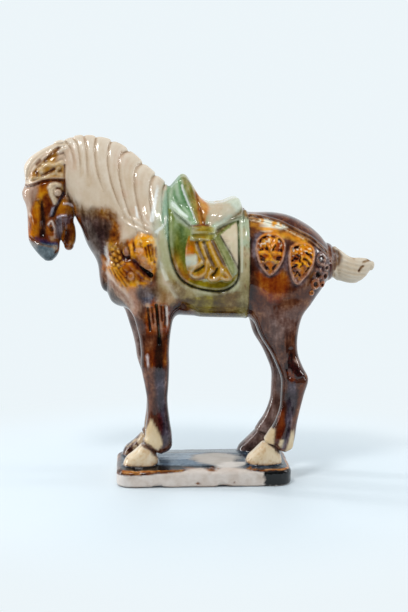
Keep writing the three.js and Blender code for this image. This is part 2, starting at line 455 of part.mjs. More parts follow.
// ---- thinning: edges close in order of the error that closing them makes ----
function thin(points, faces, keep) {
  const P = points.map((p) => [...p]);
  const F = faces.map((f) => [...f]);
  const alive = new Uint8Array(F.length).fill(1);
  const around = P.map(() => new Set());
  F.forEach((f, i) => f.forEach((v) => around[v].add(i)));
  const Q = P.map(() => new Float64Array(10));
  const cross = (a, b, c) => {
    const [x1, y1, z1] = [b[0] - a[0], b[1] - a[1], b[2] - a[2]];
    const [x2, y2, z2] = [c[0] - a[0], c[1] - a[1], c[2] - a[2]];
    return [y1 * z2 - z1 * y2, z1 * x2 - x1 * z2, x1 * y2 - y1 * x2];
  };
  for (const f of F) {
    const n = cross(P[f[0]], P[f[1]], P[f[2]]);
    const l = Math.hypot(...n);
    if (l < 1e-12) continue;
    const [a, b, c] = n.map((v) => v / l);
    const d = -(a * P[f[0]][0] + b * P[f[0]][1] + c * P[f[0]][2]);
    const w = (l / 6) * (P[f[0]][2] + P[f[1]][2] + P[f[2]][2] < 1e-6 ? 20 : 1);
    const q = [a * a, a * b, a * c, a * d, b * b, b * c, b * d, c * c, c * d, d * d];
    for (const v of f) for (let i = 0; i < 10; i++) Q[v][i] += q[i] * w;
  }
  const error = (q, [x, y, z]) =>
    q[0] * x * x + 2 * q[1] * x * y + 2 * q[2] * x * z + 2 * q[3] * x + q[4] * y * y + 2 * q[5] * y * z + 2 * q[6] * y + q[7] * z * z + 2 * q[8] * z + q[9];
  const stamp = new Int32Array(P.length);
  const gone = new Uint8Array(P.length);
  const heap = [];
  const push = (item) => {
    let i = heap.push(item) - 1;
    while (i > 0) {
      const up = (i - 1) >> 1;
      if (heap[up].cost <= item.cost) break;
      heap[i] = heap[up];
      i = up;
    }
    heap[i] = item;
  };
  const pop = () => {
    const top = heap[0], last = heap.pop();
    if (heap.length) {
      let i = 0;
      for (;;) {
        let c = 2 * i + 1;
        if (c >= heap.length) break;
        if (c + 1 < heap.length && heap[c + 1].cost < heap[c].cost) c++;
        if (heap[c].cost >= last.cost) break;
        heap[i] = heap[c];
        i = c;
      }
      heap[i] = last;
    }
    return top;
  };
  const offer = (a, b) => {
    const q = Q[a].map((v, i) => v + Q[b][i]);
    const mid = [0, 1, 2].map((k) => (P[a][k] + P[b][k]) / 2);
    const length2 = [0, 1, 2].reduce((s, k) => s + (P[a][k] - P[b][k]) ** 2, 0);
    // a little pull to the middle keeps the system solvable on flat ground
    const pull = 1e-3 * (q[0] + q[4] + q[7]) + 1e-9;
    const A = [q[0] + pull, q[1], q[2], q[4] + pull, q[5], q[7] + pull];
    const r = [pull * mid[0] - q[3], pull * mid[1] - q[6], pull * mid[2] - q[8]];
    const c0 = A[3] * A[5] - A[4] * A[4], c1 = A[2] * A[4] - A[1] * A[5], c2 = A[1] * A[4] - A[2] * A[3];
    const det = A[0] * c0 + A[1] * c1 + A[2] * c2;
    let best = mid;
    if (Math.abs(det) > 1e-14) {
      const x = (c0 * r[0] + c1 * r[1] + c2 * r[2]) / det;
      const y = (c1 * r[0] + (A[0] * A[5] - A[2] * A[2]) * r[1] + (A[1] * A[2] - A[0] * A[4]) * r[2]) / det;
      const z = (c2 * r[0] + (A[1] * A[2] - A[0] * A[4]) * r[1] + (A[0] * A[3] - A[1] * A[1]) * r[2]) / det;
      if ((x - mid[0]) ** 2 + (y - mid[1]) ** 2 + (z - mid[2]) ** 2 < 4 * length2) best = [x, y, z];
    }
    if (P[a][2] < 1e-6 && P[b][2] < 1e-6) best = [best[0], best[1], 0];
    push({ cost: Math.max(error(q, best), 0) + 2e-4 * length2, a, b, sa: stamp[a], sb: stamp[b], p: best, q });
  };
  const near = (v) => {
    const s = new Set();
    for (const f of around[v]) for (const w of F[f]) if (w !== v) s.add(w);
    return s;
  };
  F.forEach(([a, b, c]) => {
    for (const [s, t] of [[a, b], [b, c], [c, a]]) if (s < t) offer(s, t);
  });
  let count = F.length;
  while (count > keep && heap.length) {
    const e = pop();
    if (gone[e.a] || gone[e.b] || stamp[e.a] !== e.sa || stamp[e.b] !== e.sb) continue;
    const na = near(e.a), nb = near(e.b);
    let shared = 0;
    for (const v of na) if (nb.has(v)) shared++;
    if (shared !== 2 || na.size + nb.size > 18) continue;
    const dead = [...around[e.a]].filter((f) => around[e.b].has(f));
    if (dead.length !== 2) continue;
    let bad = false;
    for (const [v, other] of [[e.a, e.b], [e.b, e.a]])
      for (const f of around[v]) {
        if (F[f].includes(other)) continue;
        const old = cross(...F[f].map((w) => P[w]));
        const now = cross(...F[f].map((w) => (w === v ? e.p : P[w])));
        const lo = Math.hypot(...old), ln = Math.hypot(...now);
        const q = F[f].map((w) => (w === v ? e.p : P[w]));
        const rim = [0, 1, 2].reduce((s, k) => s + (q[k][0] - q[(k + 1) % 3][0]) ** 2 + (q[k][1] - q[(k + 1) % 3][1]) ** 2 + (q[k][2] - q[(k + 1) % 3][2]) ** 2, 0);
        if (ln < 0.035 * rim || old[0] * now[0] + old[1] * now[1] + old[2] * now[2] < 0.3 * lo * ln) {
          bad = true;
          break;
        }
      }
    if (bad) continue;
    for (const f of dead) {
      alive[f] = 0;
      for (const v of F[f]) around[v].delete(f);
      count--;
    }
    for (const f of around[e.b]) {
      F[f] = F[f].map((v) => (v === e.b ? e.a : v));
      around[e.a].add(f);
    }
    gone[e.b] = 1;
    P[e.a] = e.p;
    Q[e.a] = e.q;
    stamp[e.a]++;
    for (const v of near(e.a)) offer(Math.min(e.a, v), Math.max(e.a, v));
  }
  const map = new Map();
  const out = [];
  const index = [];
  F.forEach((f, i) => {
    if (!alive[i]) return;
    for (const v of f) {
      if (!map.has(v)) {
        map.set(v, out.length / 3);
        out.push(...P[v].map((w, k) => (k === 2 && w < 0.02 ? 0 : w)));
      }
      index.push(map.get(v));
    }
  });
  return { out, index };
}

const raw = surface(field, [-110.2, -33.4, -2.9], [106, 33, 203], GRID);
settle(field, raw.points, 0.6 * GRID);
const { out, index } = thin(raw.points, raw.faces, FACES);

const geometry = new THREE.BufferGeometry();
geometry.setAttribute("position", new THREE.Float32BufferAttribute(out, 3));
geometry.setIndex(index);
geometry.computeVertexNormals();

const glaze = new THREE.MeshStandardMaterial({ color: 0x6e3f1c, roughness: 0.18, metalness: 0, flatShading: true });
const horse = new THREE.Mesh(geometry, glaze);
horse.name = "tomb_horse";

const part = new THREE.Group();
part.name = "chinese_tomb_horse";
part.add(horse);
export default part;
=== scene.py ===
import math
import bpy
import numpy as np
from mathutils import Matrix, Vector


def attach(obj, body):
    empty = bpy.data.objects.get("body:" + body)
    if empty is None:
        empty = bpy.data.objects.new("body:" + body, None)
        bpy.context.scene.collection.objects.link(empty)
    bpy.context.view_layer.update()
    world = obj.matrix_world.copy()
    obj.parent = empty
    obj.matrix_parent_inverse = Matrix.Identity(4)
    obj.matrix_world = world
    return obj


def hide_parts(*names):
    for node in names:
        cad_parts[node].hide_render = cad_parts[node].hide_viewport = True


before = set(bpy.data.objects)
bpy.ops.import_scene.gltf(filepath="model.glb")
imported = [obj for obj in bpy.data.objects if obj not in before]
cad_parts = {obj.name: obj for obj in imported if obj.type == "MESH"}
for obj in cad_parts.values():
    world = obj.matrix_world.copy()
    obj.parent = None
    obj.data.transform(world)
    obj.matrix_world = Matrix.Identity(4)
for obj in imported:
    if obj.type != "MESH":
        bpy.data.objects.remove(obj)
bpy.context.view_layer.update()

# All shape work below is in millimetres, in the part's frame: the origin is the
# middle of the plinth's underside, the horse faces -X, its left side is -Y.

CELL = 0.6          # grid of the first surface, mm
TRIANGLES = 188000  # kept after thinning

# ---------------------------------------------------------------- sections
def across(rows, n=2.2, cy=0., egg=0.):
    return [(x, b, x, t, hw, cy, egg, n) for x, t, b, hw in rows]


def upright(rows, n=2.1, egg=0.):
    return [(xl, z, xr, z, hw, cy, egg, n) for z, xl, xr, hw, cy in rows]


def sstep(a, b, x):
    t = np.clip((x-a)/(b-a), 0, 1)
    return t*t*(3-2*t)


def smin(a, b, k):
    h = np.maximum(k-np.abs(a-b), 0)/k
    return np.minimum(a, b)-h*h*k*0.25


def strung(st, m):
    s = np.array(st, float)
    n = len(s)
    out = []
    for i in range(n-1):
        p0 = s[max(i-1, 0)]; p1 = s[i]; p2 = s[i+1]; p3 = s[min(i+2, n-1)]
        for k in range(m):
            t = k/m
            m1 = (p2-p0)*0.5; m2 = (p3-p1)*0.5
            if i == 0: m1 = p2-p1
            if i == n-2: m2 = p2-p1
            out.append((2*t**3-3*t**2+1)*p1+(t**3-2*t**2+t)*m1+(-2*t**3+3*t**2)*p2+(t**3-t**2)*m2)
    out.append(s[-1])
    return np.array(out)


class Loft:
    """Superelliptic sections strung between two outlines in the XZ plane."""
    def __init__(s, st, m, cap0, cap1, margin=12.):
        r = strung(st, m)
        s.cap0 = cap0; s.cap1 = cap1
        A = r[:, 0:2]; B = r[:, 2:4]; d = B-A
        s.A = A; s.d = d; s.L = np.linalg.norm(d, axis=1)
        s.hw = r[:, 4]; s.cy = r[:, 5]; s.egg = r[:, 6]; s.n = r[:, 7]
        M = (A+B)/2; f = M[1]-M[0]; s.M = M
        s.sgn = 1. if (d[0, 0]*f[1]-d[0, 1]*f[0]) > 0 else -1.
        pts = np.r_[A, B]
        s.lo = np.array([pts[:, 0].min()-margin-cap0, (s.cy-s.hw).min()-margin, pts[:, 1].min()-margin-cap0])
        s.hi = np.array([pts[:, 0].max()+margin+cap1, (s.cy+s.hw).max()+margin, pts[:, 1].max()+margin+cap1])

    def __call__(s, P):
        out = np.full(len(P), 30.)
        idx = np.nonzero(((P > s.lo) & (P < s.hi)).all(1))[0]
        for a in range(0, len(idx), 40000):
            i = idx[a:a+40000]
            out[i] = s.ev(P[i])
        return out

    def ev(s, P):
        x, y, z = P.T
        K = len(s.L)
        c0 = s.sgn*s.d[:, 0]/s.L; c1 = s.sgn*s.d[:, 1]/s.L
        h = z[:, None]*c0-x[:, None]*c1+(s.A[:, 0]*c1-s.A[:, 1]*c0)
        pos = h >= 0
        sg = pos[:, :-1] & ~pos[:, 1:]
        has = sg.any(1)
        i = sg.argmax(1)
        multi = np.nonzero(sg.sum(1) > 1)[0]
        if len(multi):
            D = (x[multi, None]-s.M[1:, 0])**2+(z[multi, None]-s.M[1:, 1])**2
            i[multi] = np.where(sg[multi], D, 1e9).argmin(1)
        before = ~has & ~pos[:, 0]
        after = ~has & ~before
        i[before] = 0; i[after] = K-2
        r = np.arange(len(x))
        h0 = h[r, i]; h1 = h[r, i+1]
        den = h0-h1
        t = np.clip(h0/np.where(np.abs(den) < 1e-9, 1e-9, den), 0, 1)
        t[before] = 0; t[after] = 1
        w = np.zeros(len(x)); cap = np.ones(len(x))
        w[before] = -h[before, 0]/s.cap0; cap[before] = s.cap0
        w[after] = np.maximum(h[after, -1]/s.cap1, 0); cap[after] = s.cap1
        L = lambda v: v[i]+(v[i+1]-v[i])*t
        ax = L(s.A[:, 0]); az = L(s.A[:, 1]); dx = L(s.d[:, 0]); dz = L(s.d[:, 1])
        l2 = dx*dx+dz*dz
        u = 2*((x-ax)*dx+(z-az)*dz)/l2-1
        R = np.sqrt(l2)/2
        b = L(s.hw)*np.clip(1-L(s.egg)*u, .2, 2)
        v = (y-L(s.cy))/b
        p = L(s.n)
        au = np.maximum(np.abs(u), 1e-9); av = np.maximum(np.abs(v), 1e-9); aw = np.maximum(w, 1e-9)
        g = np.maximum((au**p+av**p+aw**p)**(1/p), 1e-6)
        q = g**(1-p)
        gr = np.sqrt((q*au**(p-1)/R)**2+(q*av**(p-1)/b)**2+(q*aw**(p-1)/cap)**2)
        return (g-1)/np.maximum(gr, 1/60)


TRUNK = across([(-54.0,121,108,8),(-51.6,131.5,102.8,13.5),(-47.5,142,100.3,18),(-40.7,150.7,98.2,20.5),(-29.4,156.3,95.2,22.5),(-17,158,94.2,23.5),(-1.3,155.1,93.3,24.5),(13.4,153.4,92.9,25),(27,152.2,92.8,25),(39.5,152.1,95,25.5),(49.8,150.1,99.5,25),(58.9,145.5,103.6,23),(65.8,140.1,107.4,19),(70.5,134.4,113,14)], n=2.25)
NECK = [(a,b,c,d,hw,0.,e,2.1) for a,b,c,d,hw,e in [(-74.0,158.8,-82.5,188.6,8,.15),(-71.0,149.2,-70.6,195.2,11,.4),(-68.3,143.8,-56,194.2,12.6,.5),(-64.9,134.5,-43.2,188.8,14.2,.5),(-59.6,125.6,-31.8,179,16.2,.45),(-53.6,115.6,-21.3,169.2,19,.35),(-49,105.7,-12.5,159.1,21,.2)]]
HEAD = upright([(190.8,-82.8,-70,4.2,0),(188.3,-88.3,-72,6.2,0),(185,-94,-74,7.6,0),(181.5,-97.8,-75.5,8.6,0),(177.6,-99.7,-76.2,9.3,0),(173,-99.2,-76.2,10.2,0),(168,-99.2,-76.4,11.2,0),(164.3,-100.9,-76.8,11.8,0),(160.8,-100.6,-77.4,11.8,0),(157,-99.1,-78,11.2,0),(152,-98.3,-79,10.2,0),(145,-98.1,-79.8,8.6,0),(139,-97.9,-80.2,7.7,0),(135.6,-97.1,-80.2,8.0,0),(132.2,-94.9,-80.4,7.6,0),(129.8,-93.1,-80.9,6.8,0),(127.5,-91.0,-82.3,5.8,0),(125.9,-89.1,-84.0,4.4,0)], n=2.2)
JAW = upright([(159.3,-85.5,-70.9,8.5,0),(153.7,-85.5,-70.8,9.4,0),(148.1,-83.4,-72.3,8.4,0),(144.2,-81,-71.5,6.6,0),(140.2,-79.8,-71.1,5.6,0),(136.2,-79.0,-71.4,5.4,0),(134,-78.0,-72.4,4.6,0)], n=2.1)
FORE = upright([(112.7,-47.7,-12,9.5,-12),(98,-40.3,-16.1,9.2,-13),(84.9,-36.4,-18.5,8.1,-13),(75,-35.2,-19.3,7.9,-13),(66.7,-35.2,-19.2,7.9,-13),(56,-33.2,-19.7,6.6,-13),(47.2,-31.9,-20.3,6.2,-13),(38,-31.9,-19.5,6.3,-13),(29,-33,-18.1,7.1,-13),(22.5,-32.9,-17.7,7.3,-13)], n=2.2)
HIND = upright([(121.8,29.5,69.5,13,-11),(103.7,26.2,62,11.8,-12),(94.7,27.7,55.9,10.4,-12.5),(83.8,31.6,53.2,8.5,-13),(73.5,37.9,53.3,7.2,-13),(65.5,41.6,56.2,6.9,-13),(58.5,43.9,59.4,7.1,-13),(50,43.9,57.2,6.3,-13),(41.7,43.2,55.1,6.1,-13),(33,40,53.2,6.6,-13),(25.6,35.4,52.2,7.3,-13),(20.5,36,51.2,7.0,-13)], n=2.2)
HOOFF = upright([(23.5,-34.0,-29,5.5,-13),(20,-37.2,-27,6.8,-13),(17,-40.6,-26,7.5,-13),(14,-44.2,-25.6,8.0,-13),(8,-46.4,-26,8.4,-13)], n=2.4)
HOOFH = upright([(23.5,34.6,40.5,5.5,-13),(20,31,42.3,6.8,-13),(17,27.9,43.5,7.5,-13),(14,24.9,44.3,8.0,-13),(8,22.6,45,8.4,-13)], n=2.4)
TAIL = [(a,b,c,d,hw,0.,0.,2.2) for a,b,c,d,hw in [(64,118.5,64,133.5,5),(70.7,116.2,70.5,133,5),(77.6,113.1,77.4,131.2,5),(84.5,111.3,84.3,126.5,4.6),(89,112.0,90,125.8,3.8),(93,114.8,94.6,125.3,2.8),(95.8,118.6,96.8,124,1.6)]]
SADTOP = across([(-19,166,140,9.5),(-17,168.4,140,10.2),(-14.8,171,140,10.8),(-12.6,173.4,140,11.2),(-10.8,173.9,140,11.5),(-8.9,172.9,140,12),(-6.9,170,140,13),(-4.6,166.2,140,14.5),(-1.3,160.9,140,16),(2.1,158.3,140,17),(6.6,157.5,140,17.5),(11.2,158.1,140,17.5),(14.6,159.6,140,17.2),(17.9,160.8,140,16.8),(20,160.4,140,16.4),(21.3,158,140,16),(22.2,154,140,15)], n=2.5)
L_trunk = Loft(TRUNK, 4, 3.5, 5); L_neck = Loft(NECK, 5, 5, 8); L_head = Loft(HEAD, 3, 2.2, .7); L_jaw = Loft(JAW, 4, 5, 3.)
L_fore = Loft(FORE, 4, 8, 6); L_hind = Loft(HIND, 4, 8, 4); L_hf = Loft(HOOFF, 3, 2, 3); L_hh = Loft(HOOFH, 3, 2, 3)
L_tail = Loft(TAIL, 4, 3, 2.); L_sad = Loft(SADTOP, 2, 2.2, 2.4)
BX, BY, BR, BTOP, BDOME, BOFF = 49.3, 26.5, 9., 9.4, 2.2, -1.


def rim(x, y):
    qx = np.abs(x)-(BX-BR); qy = np.abs(y-BOFF)-(BY-BR)
    return np.sqrt(np.maximum(qx, 0)**2+np.maximum(qy, 0)**2)+np.minimum(np.maximum(qx, qy), 0)-BR


def plinth(P):
    x, y, z = P.T
    d2 = rim(x, y)
    zt = BTOP+BDOME*sstep(0, 20, -d2)
    return np.maximum(-smin(-d2, -(z-zt), 3.0), -z)


def far_fore(z): return -.5*(1-sstep(20, 36, z))-4.6*sstep(48, 92, z)
def far_hind(z): return -3.0*(1-sstep(78, 90, z))-1.5*sstep(78, 90, z)


def body(P):
    f = smin(L_trunk(P), L_neck(P), 9.)
    f = smin(f, smin(L_head(P), L_jaw(P), 2.), 1.6)
    far = P*np.array([1, -1, 1.])
    pf = far.copy(); pf[:, 0] -= far_fore(P[:, 2])
    ph = far.copy(); ph[:, 0] -= far_hind(P[:, 2])
    for a, b in ((P, P), (pf, ph)):
        f = smin(f, L_fore(a), 7.); f = smin(f, L_hind(b), 7.)
        f = smin(f, L_hf(a), 1.5); f = smin(f, L_hh(b), 1.5)
    f = smin(f, L_tail(P), 3.)
    f = smin(f, L_sad(P), 2.)
    return smin(f, plinth(P), 1.2)


# ---------------------------------------------------------------- drawing tools
def seg(x, z, ax, az, bx, bz):
    dx, dz = bx-ax, bz-az
    t = np.clip(((x-ax)*dx+(z-az)*dz)/(dx*dx+dz*dz), 0, 1)
    return np.hypot(x-ax-t*dx, z-az-t*dz), t


def line(x, z, pts):
    d = np.full(x.shape, 1e3)
    for a, b in zip(pts[:-1], pts[1:]):
        d = np.minimum(d, seg(x, z, *a, *b)[0])
    return d


def poly(x, z, pts):
    d = line(x, z, list(pts)+[pts[0]])
    ins = np.zeros(x.shape, bool)
    for i in range(len(pts)):
        (x0, z0), (x1, z1) = pts[i], pts[(i+1) % len(pts)]
        if z0 == z1: continue
        ins ^= ((z0 > z) != (z1 > z)) & (x < (x1-x0)*(z-z0)/(z1-z0)+x0)
    return np.where(ins, -d, d)


def taper(x, z, pts, w0, w1):
    """Distance past the edge of a stroke that runs from half width w0 to w1."""
    best = np.full(x.shape, 1e3)
    n = len(pts)-1
    for i in range(n):
        d, t = seg(x, z, *pts[i], *pts[i+1])
        best = np.minimum(best, d-(w0+(w1-w0)*(i+t)/n))
    return best


def ridge(d, w): return np.exp(-(d/w)**2)
def plate(d, r): return sstep(0, 1, 0.5-d/(2*r))


def curve(pts, m=4):
    p = np.array(pts, float); o = []
    for i in range(len(p)-1):
        p0 = p[max(i-1, 0)]; p1 = p[i]; p2 = p[i+1]; p3 = p[min(i+2, len(p)-1)]
        for k in range(m):
            t = k/m
            o.append(0.5*(2*p1+(p2-p0)*t+(2*p0-5*p1+4*p2-p3)*t*t+(3*p1-p0-3*p2+p3)*t**3))
    o.append(p[-1])
    return [tuple(q) for q in o]


def ring(pts, m=3):
    return curve(list(pts)+[pts[0]], m)[:-1]


def hashed(i, j, k, seed):
    n = (i*73856093) ^ (j*19349663) ^ (k*83492791) ^ (seed*2654435)
    n = (n ^ (n >> 13))*1274126177
    return ((n ^ (n >> 16)) & 0xffff)/65535.


def noise(x, y, z, seed=0):
    """Smooth value noise, -1 to 1, one cell per unit."""
    fx, fy, fz = np.floor(x), np.floor(y), np.floor(z)
    i, j, k = fx.astype(np.int64), fy.astype(np.int64), fz.astype(np.int64)
    u, v, w = x-fx, y-fy, z-fz
    u, v, w = [t*t*t*(t*(t*6-15)+10) for t in (u, v, w)]
    o = 0.
    for a in (0, 1):
        for b in (0, 1):
            for c in (0, 1):
                o = o+hashed(i+a, j+b, k+c, seed)*(u if a else 1-u)*(v if b else 1-v)*(w if c else 1-w)
    return 2*o-1


def cloud(x, y, z, seed=0, octaves=3):
    o = 0.; a = 1.; t = 0.
    for n in range(octaves):
        o = o+a*noise(x*2**n, y*2**n, z*2**n, seed+7*n); t += a; a *= .5
    return o/t


# ---------------------------------------------------------------- the carving, drawn on the horse's side
PANEL = curve([(-19.6,171),(-19.5,155.4),(-19.7,141.2),(-19.1,132.8),(-16.6,123.0),(-12.4,116.4),(-5.9,112.5),(1.9,110.5),(9.1,110.1),(14.3,112.0),(17.9,115.6),(19.0,120.5),(19.0,134.5),(18.9,148.6)], 3)
BLANKF = curve([(-21,170.4),(-23.8,155.1),(-25.5,138.6),(-23.9,126.4),(-20.1,115.3),(-14.6,106.4),(-5,98)], 3)
BLANKET = [(-19,178)]+BLANKF+[(-2,85),(24.4,85),(24.9,116.4),(25.1,138.6),(25.5,157.8),(25.8,178)]
DRAPE = [(-19.5,178),(-19.9,159),(-16.7,154.1),(-6.8,146.1),(-6.8,142),(5.8,142),(6.4,145.2),(13,147.9),(21,151.4),(23.5,157.2),(24,178)]
DRAPEFOLD = [[(-17.9,155.4),(-12.3,151.3),(-7.8,147.8)],[(16.5,158.2),(12,153.6),(6.0,147.2)],[(9.0,157.5),(6.5,152),(3.4,146.5)]]
POMMEL_RIB = [(-11.8,170.4),(-11.4,166.9),(-8.4,158.6),(-3.6,147.9)]
POMMEL_CREASE = [(-16.4,169.5),(-16.3,162.5),(-12.6,155.6),(-7.8,149.4)]
FLAP = curve([(-13.8,178),(-17.6,168.1),(-17.1,160.4),(-12.2,151.6),(-6.4,145),(-2.5,145),(-3.9,152.7),(-6.4,161.5),(-8.3,169.2),(-9.5,178)], 2)
SEATFOLD = [(-5.2,167.1),(-3.0,157.2),(-0.2,146.1)]
BAND = [(-7.6,146.0),(-2.5,146.6),(2.6,146.3),(6.6,145.0),(6.2,140.8),(5.4,139.0),(-1.3,138.3),(-7.8,138.7)]
RIM_R = curve([(6.4,144.9),(14.2,148.2),(18.2,149.4),(20.2,148.4),(20.6,144.5),(20.6,134.5),(20.5,121.5)], 3)
CLOTH = curve([(-8.6,141),(-9.6,138.0),(-10.4,134.0),(-10.5,128.2),(-9.9,123.6),(-8.7,119.9),(-5.9,117.5),(-1.6,116.9),(1.0,117.4),(3.2,115.8),(7.1,116.0),(9.4,116.8),(12.6,116.0),(15.3,117.4),(13.6,121.2),(9.1,130.7),(5.4,138.5)], 2)
STRAP = [(7.0,140.0),(11.9,130.9),(16.3,121.4)]
RIBS = [curve(r, 3) for r in ([(-5.9,138.6),(-3.6,132.6),(-0.9,126.8)],[(-2.3,138.6),(0.3,131.2),(2.9,125.2)],[(1.9,138.6),(5.8,129.2),(10.1,121.6)])]
FURROWS = [curve(r, 3) for r in ([(-4.5,137.2),(-2.5,131.8),(-0.1,126.9)],[(-0.4,137.6),(2.2,130.0),(5.4,123.2)],[(4.2,138.2),(8.2,130.0),(12.6,121.9)])]
CURLS = [curve(r, 3) for r in ([(0.9,126.8),(0.9,122.6),(-1.1,119.7),(-4.6,118.7),(-7.4,119.9),(-7.0,122.4),(-4.4,124.7),(-2.0,126.6)],[(9.0,122.3),(8.0,118.9),(4.9,117.1),(2.5,117.5),(2.3,119.9),(3.7,122.0)],[(11.4,120.7),(13.2,118.2),(11.7,117.0),(9.7,117.9)])]
SLITS = ([(-5.0,121.6),(-2.3,123.0),(-0.7,124.4)], [(4.5,119.5),(6.0,120.9),(6.9,122.9)])
CRUPPER = curve([(25.4,150.9),(33.7,149.4),(42,147.2),(47.6,144.6),(53.2,141.8),(58.8,138.8),(63.4,135.2),(68.6,130.6)], 3)
PLAQUES = (
    (ring([(28.7,138.6),(32.5,141.6),(36.4,142.2),(40.3,141.5),(44.0,138.2),(44.6,132.6),(43.0,126.9),(39.9,122.1),(36.0,118.9),(32.1,122.1),(29.3,127.7),(28.2,133.8)]), (36.2, 134.2),
     ([(30.7,137.2),(31.5,139.0),(32.8,139.8)], [(30.2,133.0),(31.9,133.6)], [(30.8,129.6),(32.6,128.9)], [(30.9,128.4),(32.3,127.9)], [(42.5,137.2),(41.6,138.9)], [(42.4,132.8),(40.8,132.6)], [(41.9,129.2),(40.3,128.7)], [(41.4,127.8),(40.1,127.6)], [(33.8,135.3),(34.8,133.4)], [(38.8,135.3),(37.8,133.4)], [(33.0,125.2),(34.4,123.2)], [(38.9,124.9),(37.8,123.1)]),
     ([(36.2,139.8),(36.1,135.7),(36.1,131.9),(35.9,127.4)], [(35.7,134.4),(33.6,136.4),(32.3,139.0)], [(35.7,131.4),(32.8,132.1),(30.3,131.6)], [(36.7,134.4),(38.9,136.6),(40.6,139.2)], [(36.7,131.4),(38.9,131.4),(41.6,131.2)], [(35.6,128.2),(33.2,127.5),(31.6,126.6)], [(36.2,128.2),(38.4,127.2),(40.6,126.4)])),
    (ring([(47.5,135.0),(50.4,136.6),(53.9,137.0),(58.5,135.9),(61.3,132.5),(60.9,126.4),(58.3,120.8),(54.8,116.8),(51.3,113.8),(48.4,117.0),(46.6,123.1),(46.3,129.8)]), (53.4, 130.0),
     ([(48.1,133.6),(49.7,134.5),(51.6,134.0)], [(47.9,127.2),(49.5,127.8),(51.0,128.3)], [(47.9,123.2),(49.2,123.7),(50.6,124.8)], [(58.0,125.0),(56.7,126.8),(55.1,128.0)], [(59.8,128.6),(58.3,130.0),(56.2,131.2)], [(50.9,130.3),(52.3,129.0),(52.7,127.0)], [(53.0,123.8),(54.1,125.3)], [(49.8,119.5),(51.2,120.8),(52.8,119.2)], [(56.3,121.2),(57.2,123.0)]),
     ([(52.8,133.6),(53.4,130.1),(52.8,126.2),(51.8,122.3)], [(53.5,135.6),(56.1,134.4),(59.0,132.5)], [(53.9,133.2),(56.7,132.0),(59.9,129.9)], [(53.9,129.9),(56.2,128.6),(58.9,126.4)], [(52.0,132.0),(50.0,131.6),(48.0,130.9)], [(52.1,125.9),(50.1,125.7),(47.8,125.4)], [(53.2,127.0),(55.4,125.4),(57.0,123.6)])))
RINGS = ((65.0, 127.2, 3.2), (63.2, 119.0, 2.9), (61.8, 113.4, 2.7), (68.4, 122.6, 1.8), (67.4, 117.8, 2.1), (66.2, 112.8, 1.8), (60.0, 108.6, 1.3))
FAN = ring([(-42.2,135.7),(-39.7,137.4),(-37.3,140.3),(-34.8,141.9),(-31.5,141.1),(-28.6,139.0),(-26.1,135.7),(-25.5,132.3),(-26.2,129.0),(-27.4,125.7),(-29.1,122.4),(-31.6,121.8),(-34.1,123.5),(-36.5,125.8),(-39.8,128.4),(-42.3,131.8)], 2)
FAN_CUTS = (([(-32.4,134.6),(-31.3,129.6)],.2,.7), ([(-30.8,135.6),(-30.2,132.0),(-29.2,127.6)],.25,1.0), ([(-29.2,135.9),(-28.3,131.0),(-27.5,126.4)],.25,.9), ([(-26.7,134.4),(-26.5,129.4)],.2,.6), ([(-39.0,137.6),(-38.2,133.4)],.3,.9), ([(-36.6,139.2),(-33.8,137.9),(-30.8,138.3)],.15,.35), ([(-35.0,136.8),(-34.2,134.4)],.2,.5))
SLOT = [(-36.8,125.4),(-34.8,123.6),(-32.2,121.5),(-29.5,119.3)]
CREASE = [(-42.8,129.2),(-40.8,128.7),(-38.6,127.2),(-36.8,125.6)]
SPRAY = (([(-42.3,126.6),(-38.2,122.9),(-34.1,118.9),(-30.0,116.4)],1.5,1.0), ([(-43.2,123.3),(-39.9,119.4),(-36.6,116.0)],1.1,.8), ([(-40.2,117.6),(-39.3,112.6)],1.0,.5),
         ([(-53.0,121.7),(-51.1,117.9),(-48.2,113.5)],.8,.8), ([(-51.6,122.1),(-49.2,117.9),(-45.7,112.4)],.8,.9), ([(-49.9,122.5),(-47.1,117.9),(-43.6,112.9)],.8,.9), ([(-48.2,122.6),(-45.4,118.3),(-42.2,114.6)],.8,.8), ([(-46.1,122.2),(-43.6,119.4)],.8,.7))
KNOBS = ((-40.7,119.3,1.5),(-49.7,130.4,1.5),(-51.2,128.2,1.3),(-48.5,127.2,1.3),(-47.5,124.7,1.2),(-45.2,126.0,1.3),(-49.9,125.0,1.2),(-46.6,128.6,1.2),(-50.6,133.4,1.4),(-47.4,132.4,1.3),(-49.0,135.4,1.2))
OVALS = ((-43.2,132.3,1.7,3.1),)
BAR = [(-40.6,135.6),(-40.3,132.0),(-39.9,129.0)]
LEGG = [([(-31.3,100.8),(-30.7,95.1),(-29.9,88.4)],.75,.8),([(-26.6,102.5),(-25.8,94.1),(-25.0,85.8),(-24.8,80.5)],.85,1.0),([(-21.8,101.8),(-21.5,96.1),(-21.7,90.9)],.6,.5),([(-29.0,101.2),(-28.6,96.2),(-28.1,92.7)],.5,.45),([(-23.9,102.0),(-23.6,97.5),(-23.3,93.7)],.5,.45)]
TIPCUTS = ([(89.0,118.6),(90.3,120.8),(91.4,121.4)], [(91.6,123.6),(94.2,124.4),(96.2,124.6)])
CHEEK = curve([(-76.6,179),(-76.9,172.5),(-77.1,166.8),(-77.4,163.2),(-79.3,160.0),(-82.2,154.7),(-83.9,150.9)], 3)
BROW = curve([(-99.4,167.9),(-95.6,168.3),(-92.1,169.6),(-89.6,170.9),(-84,171.9),(-78,171.6)], 3)
EARUP = curve([(-95.0,173.4),(-91.0,176.8),(-86.9,178.6),(-82.9,179),(-78.9,180.8)], 3)
EARLO = curve([(-94.6,172.2),(-88.5,173.4),(-84.0,174.9),(-81.0,176.8),(-78.6,178.7)], 3)
